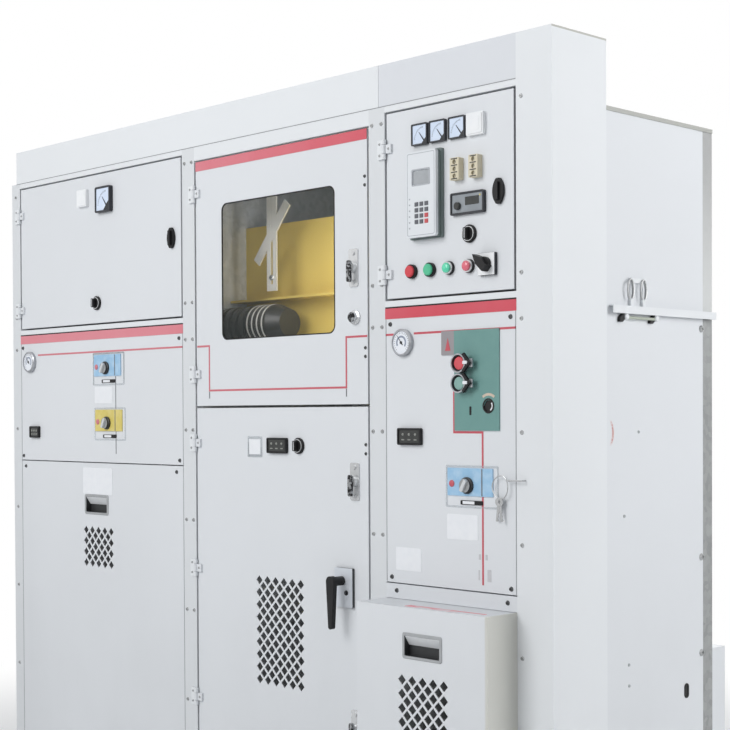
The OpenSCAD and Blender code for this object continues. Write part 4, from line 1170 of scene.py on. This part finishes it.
label_card = Blank().plate(shifted(label, 0, 0, LABEL_BACK), block(0.044, 0.038, 0.001), 0.0004)
piece("label_card", label_card, label_white, "metering_door")
display("metering_display", *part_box("metering_display"), "metering_door")


# Right control door: three small meters, a white module, a controller and a rotary switch on a
# square plate. All are panel instruments clamped from behind through cut-outs in the sheet.
RIGHT_DOOR = "right_control_door"
*small_meters, controller, right_square, rotary_base = solids("right_door_meters")


def right_cases(place):
    low = right_square[0]
    module = (place.axis(2) > low.z - 0.002) * (place.axis(0) > low.x - 0.002)
    return module.between(case_black(place), module_white)


dress(new_finish("right_cases", right_cases, wavering(0.32, 0.15, 60, 2)), "right_door_meters")
for number, corners in enumerate(small_meters):
    meter(f"small_meter_{number}", *corners, 0.003, 0.30, RIGHT_DOOR)
module_cover("right_module_cover", *right_square, RIGHT_DOOR)
low, high = rotary_base
ROTARY_OUT, ROTARY_HOLE, FACE_STEP = 0.009, 0.0046, 0.0006
rotary_face = Blank().frame(over(low, high, ROTARY_OUT),
                            square_with(high.x - low.x - 0.001, high.z - low.z - 0.001),
                            disc(ROTARY_HOLE, 48), 0.0008)
piece("rotary_face", rotary_face, white_plastic, RIGHT_DOOR)
controller_face = mottled("controller_face", 26, 3, (120, 126, 132), (160, 166, 172), 0.3)
amber = mottled("amber_lens", 90, 2, (206, 190, 110), (222, 206, 130), 0.25)
KNOB_PROFILE = [(0, 0), (0.0085, 0), (0.0080, 0.006), (0.0065, 0.0075), (0, 0.0075)]
LIGHT_PROFILE = [(0, 0), (0.0022, 0), (0.0018, 0.001), (0, 0.0013)]
low, high = controller
at = over(low, high, FRONT - low.y - METER_SUNK)
piece("controller_face", Blank().plate(at, block(high.x - low.x - 0.009, 0.039, 0.001), FACE_STEP),
      controller_face, RIGHT_DOOR)
controls = Blank().turned(shifted(at, -0.026, -0.005, FACE_STEP), KNOB_PROFILE, 28)
controls.plate(shifted(at, 0.014, 0.004, FACE_STEP), block(0.040, 0.018, 0.001), 0.0004)
piece("controller_knob", controls, smoked, RIGHT_DOOR)
light = Blank().turned(shifted(at, 0.037, 0.0135, FACE_STEP), LIGHT_PROFILE, 16)
piece("controller_light", light, amber, RIGHT_DOOR)


# Protection relay: a two-part moulded case, white front on a grey-green housing whose dark tone is
# partly painted shade.
# Below its small liquid-crystal window is a keypad of dark keys with red ones in the lower right.
relay_low, relay_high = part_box("protection_relay")
RELAY_OUT, FRONT_PART = FRONT - relay_low.y, 0.008


def relay_case_shaded_housing(place):
    front_part = (FRONT - place.axis(1)).rise(RELAY_OUT - FRONT_PART - 0.0005,
                                              RELAY_OUT - FRONT_PART + 0.0005)
    # Grey-green housing drawn dark: partly its own colour, partly painted shade.
    housing_and_shade = place.noise(25, 3).between(shade(96, 110, 110), shade(116, 128, 127))
    return front_part.between(housing_and_shade, shade(222, 226, 230))


dress(new_finish("relay_case_shaded_housing", relay_case_shaded_housing, wavering(0.36, 0.15, 50, 2),
                 lambda place: place.noise(1500, 2), 0.00003), "protection_relay")
lcd = mottled("liquid_crystal", 60, 3, (156, 160, 164), (178, 182, 186), 0.18)
line_grey = mottled("moulded_line", 90, 2, (168, 172, 178), (186, 190, 195), 0.45)
relay_mid, WINDOW_SUNK = (relay_low + relay_high) / 2, 0.0025
relay_wide, relay_tall = relay_high.x - relay_low.x, relay_high.z - relay_low.z


def relay_block(wide, tall, corner):
    """Rectangle in shares of the relay's width and height."""
    return block(wide * relay_wide, tall * relay_tall, corner)


view = facing_front(relay_mid.x, relay_mid.z + 0.19 * relay_tall, RELAY_OUT)
relay_window = Blank().plate(shifted(view, 0, 0, -WINDOW_SUNK), relay_block(0.51, 0.155, 0.0015),
                             0.0006)
piece("relay_window", relay_window, lcd, RIGHT_DOOR)
border = Blank().frame(over(relay_low, relay_high, RELAY_OUT), relay_block(0.86, 0.93, 0.004),
                       relay_block(0.83, 0.915, 0.003), 0.0003)
border.frame(view, relay_block(0.58, 0.19, 0.003), relay_block(0.525, 0.163, 0.0015), 0.0010)
piece("relay_border", border, line_grey, RIGHT_DOOR)
key_tree, size = shape_tree("key_rows", {
    "Places": "Geometry", "Across": "Int", "Down": "Int", "Pitch Across": "Float",
    "Pitch Down": "Float", "Key": "Vector", "Centre": "Vector", "Material": "Material"})
start = size["Places"]
grid = start.node("GeometryNodeMeshGrid", {},
                  {"Size X": size["Pitch Across"] * (size["Across"] - 1),
                   "Size Y": size["Pitch Down"] * (size["Down"] - 1), "Vertices X": size["Across"],
                   "Vertices Y": size["Down"]})
grid = start.node("GeometryNodeTransform", {}, {"Geometry": grid, "Rotation": (math.pi / 2, 0, 0),
                                                "Translation": size["Centre"]})
key = start.node("GeometryNodeMeshCone", {}, {"Vertices": 4, "Radius Top": 0.58,
                                              "Radius Bottom": 0.7071, "Depth": 1.0})
key = start.node("GeometryNodeTransform", {}, {"Geometry": key, "Rotation": (0, 0, math.pi / 4)})
key = start.node("GeometryNodeTransform", {}, {"Geometry": key, "Rotation": (math.pi / 2, 0, 0),
                                               "Scale": size["Key"]})
keypad = start.node("GeometryNodeInstanceOnPoints", {}, {"Points": grid, "Instance": key})
end_tree(key_tree, keypad, size["Material"])
key_dark = mottled("key_dark", 150, 2, (78, 80, 88), (104, 106, 112), 0.45)
key_red = mottled("key_red", 150, 2, (186, 66, 72), (202, 92, 94), 0.45)
KEY_PITCH, KEY_DROP, PAD_LEFT, PAD_TOP = 0.0150, 0.86 * 0.0150, -0.0130, -0.022
KEY_SIZE, LIGHT_SIZE = (0.0112, 0.0095, 0.0016), (0.0034, 0.0034, 0.0010)


def keys_at(name, column, line, across, down, finish, key_size=KEY_SIZE):
    x = relay_mid.x + PAD_LEFT + KEY_PITCH * (column + (across - 1) / 2)
    z = relay_mid.z + PAD_TOP - KEY_DROP * (line + (down - 1) / 2)
    set_out(name, key_tree, {"Across": across, "Down": down, "Pitch Across": KEY_PITCH,
                             "Pitch Down": KEY_DROP, "Key": key_size, "Centre": (x, relay_low.y, z),
                             "Material": finish}, RIGHT_DOOR)


keys_at("relay_keys", 0, 0, 2, 4, key_dark)
keys_at("relay_side_keys", 2, 0, 1, 2, key_dark)
keys_at("relay_red_keys", 2, 2, 1, 2, key_red)
keys_at("relay_lights", -1.4, -1.0, 1, 6, line_grey, LIGHT_SIZE)


# Test terminals: cream moulded blocks with three brass screws in round wells.
# Lamps and push buttons: 22 millimetre pilot devices in black and plated rings.
dress(mottled("terminal_cream", 50, 3, (204, 194, 166), (222, 214, 192),
              wavering(0.4, 0.15, 80, 2)), "terminal_blocks")
brass = mottled("dull_brass", 200, 3, (166, 162, 146), (196, 192, 178), 0.35, Metallic=0.85)
TERMINAL_STEPS, TERMINAL_OUT, TERMINAL_HEAD = (-0.015, 0.0, 0.015), 0.0102, 0.0043
SLOT_STEPS, SLOT_WIDE, SLOT_HIGH = (-0.0075, 0.0075, -0.0215, 0.0215), 0.018, 0.0022
terminal_screws, slots = [], Blank()
for low, high in solids("terminal_blocks"):
    middle = (low + high) / 2
    terminal_screws += [(middle.x, FRONT - TERMINAL_OUT, middle.z + step)
                        for step in TERMINAL_STEPS]
    for step in SLOT_STEPS:
        slots.plate(facing_front(middle.x, middle.z + step, FRONT - low.y),
                    block(SLOT_WIDE, SLOT_HIGH, 0.0006), 0.0006)
screws("terminal_screws", terminal_screws, TO_FRONT, TERMINAL_HEAD, brass, RIGHT_DOOR)
piece("terminal_slots", slots, ink, RIGHT_DOOR)
lamp_green = mottled("lamp_green", 160, 2, (66, 208, 164), (112, 228, 190), 0.2, Coat_Weight=0.5)
lamp_red = mottled("lamp_red", 160, 2, (214, 84, 104), (230, 122, 138), 0.2, Coat_Weight=0.5)
dress(black_plastic, "indicator_lamps")
LENS_PROFILE = [(0.0112, 0.0080), (0.0108, 0.0135), (0.0085, 0.0158), (0.0045, 0.0168), (0, 0.0171)]
for name, finish, corners in zip(("green_lamp", "red_lamp"), (lamp_green, lamp_red),
                                 solids("indicator_lamps")):
    at = over(*corners)
    piece(name + "_lens", Blank().turned(at, LENS_PROFILE), finish, RIGHT_DOOR)
    collar(name + "_ring", at, 0.0112, 0.0142, 0.0108, (0.0008, 0.0012), chrome, RIGHT_DOOR,
           0.0076, 36)
cap_red = mottled("cap_red", 90, 3, (200, 50, 62), (214, 78, 86), 0.34)
cap_green = mottled("cap_green", 90, 3, (64, 178, 134), (96, 200, 158), 0.34)
for node, finish in (("red_button", cap_red), ("green_button", cap_green)):
    dress(finish, node)
    collar(node + "_bezel", over(*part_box(node)), 0.0137, 0.0158, 0.0092, (0.0008, 0.0010),
           black_plastic, RIGHT_DOOR)


# Hinges: steel butts with loose pins over the gap at each leaf, painted with the frame.
# Countersunk screws hold the fixed half to the strip and the moving half to the leaf.
HINGE_OUT, HALF_PLATE, KNUCKLE, HINGE_HEAD = 0.006, 0.0075, 0.0055, 0.0032
FIXED_STEPS, MOVING_STEP = (-0.013, 0.013), 0.0140
fixed_screws, moving_screws = [], {}
for low, high in solids("hinge_pins"):
    pin, middle = high.x - KNUCKLE, (low.z + high.z) / 2
    fixed_screws += [(low.x + HALF_PLATE, FRONT - HINGE_OUT, middle + step) for step in FIXED_STEPS]
    for body in ("left_control_door", "window_door", "metering_door", RIGHT_DOOR):
        leaf_low, leaf_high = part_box(body)
        if leaf_low.x < pin < leaf_high.x and leaf_low.z < middle < leaf_high.z:
            place = (pin + MOVING_STEP, FRONT - HINGE_OUT, middle)
            moving_screws.setdefault(body, []).append(place)
screws("hinge_screws", fixed_screws, TO_FRONT, HINGE_HEAD, plated)
for body, points in moving_screws.items():
    screws(body + "_hinge_screws", points, TO_FRONT, HINGE_HEAD, plated, body)


# Stage: a plain pale floor that runs out into a white backdrop, and soft studio light.
# Large lamps stand before the front, past the right end and behind; weak strips stand in
# for the daylight behind the window and behind the three vented sheets.
floor_mesh = bmesh.new()
FLOOR_RADIUS, FADE_FROM, FADE_TO = 30.0, 1.8, 3.6
bmesh.ops.create_circle(floor_mesh, cap_ends=True, radius=FLOOR_RADIUS, segments=64)
floor_data = bpy.data.meshes.new("floor")
floor_mesh.to_mesh(floor_data)
floor_mesh.free()
floor = bpy.data.objects.new("floor", floor_data)
bpy.context.scene.collection.objects.link(floor)
floor_finish = bpy.data.materials.new("pale_floor")
floor_finish.use_nodes = True
tree = floor_finish.node_tree
shader, output = tree.nodes["Principled BSDF"], tree.nodes["Material Output"]
shader.inputs["Base Color"].default_value = shade(236, 237, 238)
shader.inputs["Roughness"].default_value = 0.7
place = Tone(tree, tree.nodes.new("ShaderNodeTexCoord").outputs["Object"])
from_middle = place.node("ShaderNodeVectorMath", {"operation": "LENGTH"}, {0: place}, "Value")
seen = place.node("ShaderNodeLightPath", {}, {}, "Is Camera Ray")
white = place.node("ShaderNodeEmission", {}, {"Color": (1, 1, 1, 1), "Strength": 1.0})
mixed = place.node("ShaderNodeMixShader", {}, {0: from_middle.rise(FADE_FROM, FADE_TO) * seen,
                                               1: Tone(tree, shader.outputs[0]), 2: white})
tree.links.new(mixed.socket, output.inputs["Surface"])
floor.data.materials.append(floor_finish)

world = bpy.data.worlds.new("studio")
bpy.context.scene.world = world
world.use_nodes = True
tree = world.node_tree
AMBIENT, AMBIENT_LEVEL = (0.96, 0.98, 1.0, 1.0), 0.33
path = tree.nodes.new("ShaderNodeLightPath")
camera_ray, glossy_ray, through_ray = (Tone(tree, path.outputs[label]) for label in (
    "Is Camera Ray", "Is Glossy Ray", "Is Transmission Ray"))
shown = camera_ray.maths("MAXIMUM", camera_ray.maths("MAXIMUM", camera_ray, glossy_ray),
                         through_ray)
ambient = tree.nodes["Background"]
ambient.inputs["Color"].default_value = AMBIENT
ambient.inputs["Strength"].default_value = AMBIENT_LEVEL
backdrop = shown.node("ShaderNodeBackground", {}, {"Color": (1, 1, 1, 1), "Strength": 1.0})
mixed = shown.node("ShaderNodeMixShader", {}, {0: shown, 1: Tone(tree, ambient.outputs[0]),
                                               2: backdrop})
tree.links.new(mixed.socket, tree.nodes["World Output"].inputs["Surface"])


def lamp(name, place, target, power, wide=3.0, high=3.0, colour=(1.0, 1.0, 1.0)):
    data = bpy.data.lights.new(name, "AREA")
    data.shape, data.size, data.size_y = "RECTANGLE", wide, high
    data.energy, data.color = power, colour
    made = bpy.data.objects.new(name, data)
    bpy.context.scene.collection.objects.link(made)
    made.location = place
    made.rotation_euler = (Vector(target) - Vector(place)).to_track_quat("-Z", "Y").to_euler()


lamp("front_lamp", (-0.3, -4.9, 3.6), (0.0, FRONT, 1.2), 160)
lamp("end_lamp", (4.6, 1.8, 2.8), (RIGHT, 0.1, 1.2), 120)
lamp("back_lamp", (-3.4, 5.0, 3.2), (0.0, 0.3, 1.1), 120)
WARM = (1.0, 0.98, 0.95)
lamp("compartment_lamp", (window.x + window_wide / 2 + 0.035, FRONT + 0.045, window.z),
     (window.x - 0.04, FRONT + 0.190, window.z), 1.15, 0.035, 0.40, WARM)
low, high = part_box("metering_door")
door_x = (low.x + high.x) / 2
lamp("metering_lamp", (door_x, FRONT + 0.060, 1.050), (door_x, FRONT + 0.160, 0.50), 0.24, 0.40,
     0.05, WARM)
low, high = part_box("left_cable_cover")
cover_x = (low.x + high.x) / 2
lamp("cover_lamp", (cover_x, FRONT + 0.060, high.z - 0.020), (cover_x, FRONT + 0.160, 0.50), 0.24,
     0.40, 0.05, WARM)
box_x, box_y = (box_low.x + box_high.x) / 2, (box_low.y + FRONT) / 2
lamp("box_lamp", (box_x, box_y, ledge - 0.035), (box_x, box_y, 0.20), 0.17, 0.24, 0.04, WARM)

IMAGE_SIDE, FOCAL_PIXELS, SENSOR, SHIFT_UP = 730, 1496.4, 36.0, 0.10
CAMERA_PLACE = (2.9725, -2.6953, 1.2073)
AZIMUTH, PITCH, ROLL = (math.radians(angle) for angle in (45.90, 0.940, -0.276))
ahead = Vector((-math.sin(AZIMUTH) * math.cos(PITCH), math.cos(AZIMUTH) * math.cos(PITCH),
                -math.sin(PITCH)))
level = Vector((math.cos(AZIMUTH), math.sin(AZIMUTH), 0))
upright = level.cross(ahead)
right = math.cos(ROLL) * level + math.sin(ROLL) * upright
upward = -math.sin(ROLL) * level + math.cos(ROLL) * upright
camera_data = bpy.data.cameras.new("camera")
camera_data.sensor_width = SENSOR
camera_data.lens = FOCAL_PIXELS / IMAGE_SIDE * SENSOR
camera_data.shift_y = SHIFT_UP
camera = bpy.data.objects.new("camera", camera_data)
bpy.context.scene.collection.objects.link(camera)
facing = Matrix((right, upward, -ahead)).transposed().to_4x4()
camera.matrix_world = Matrix.Translation(CAMERA_PLACE) @ facing
bpy.context.scene.camera = camera
bpy.context.scene.view_settings.view_transform = "Standard"
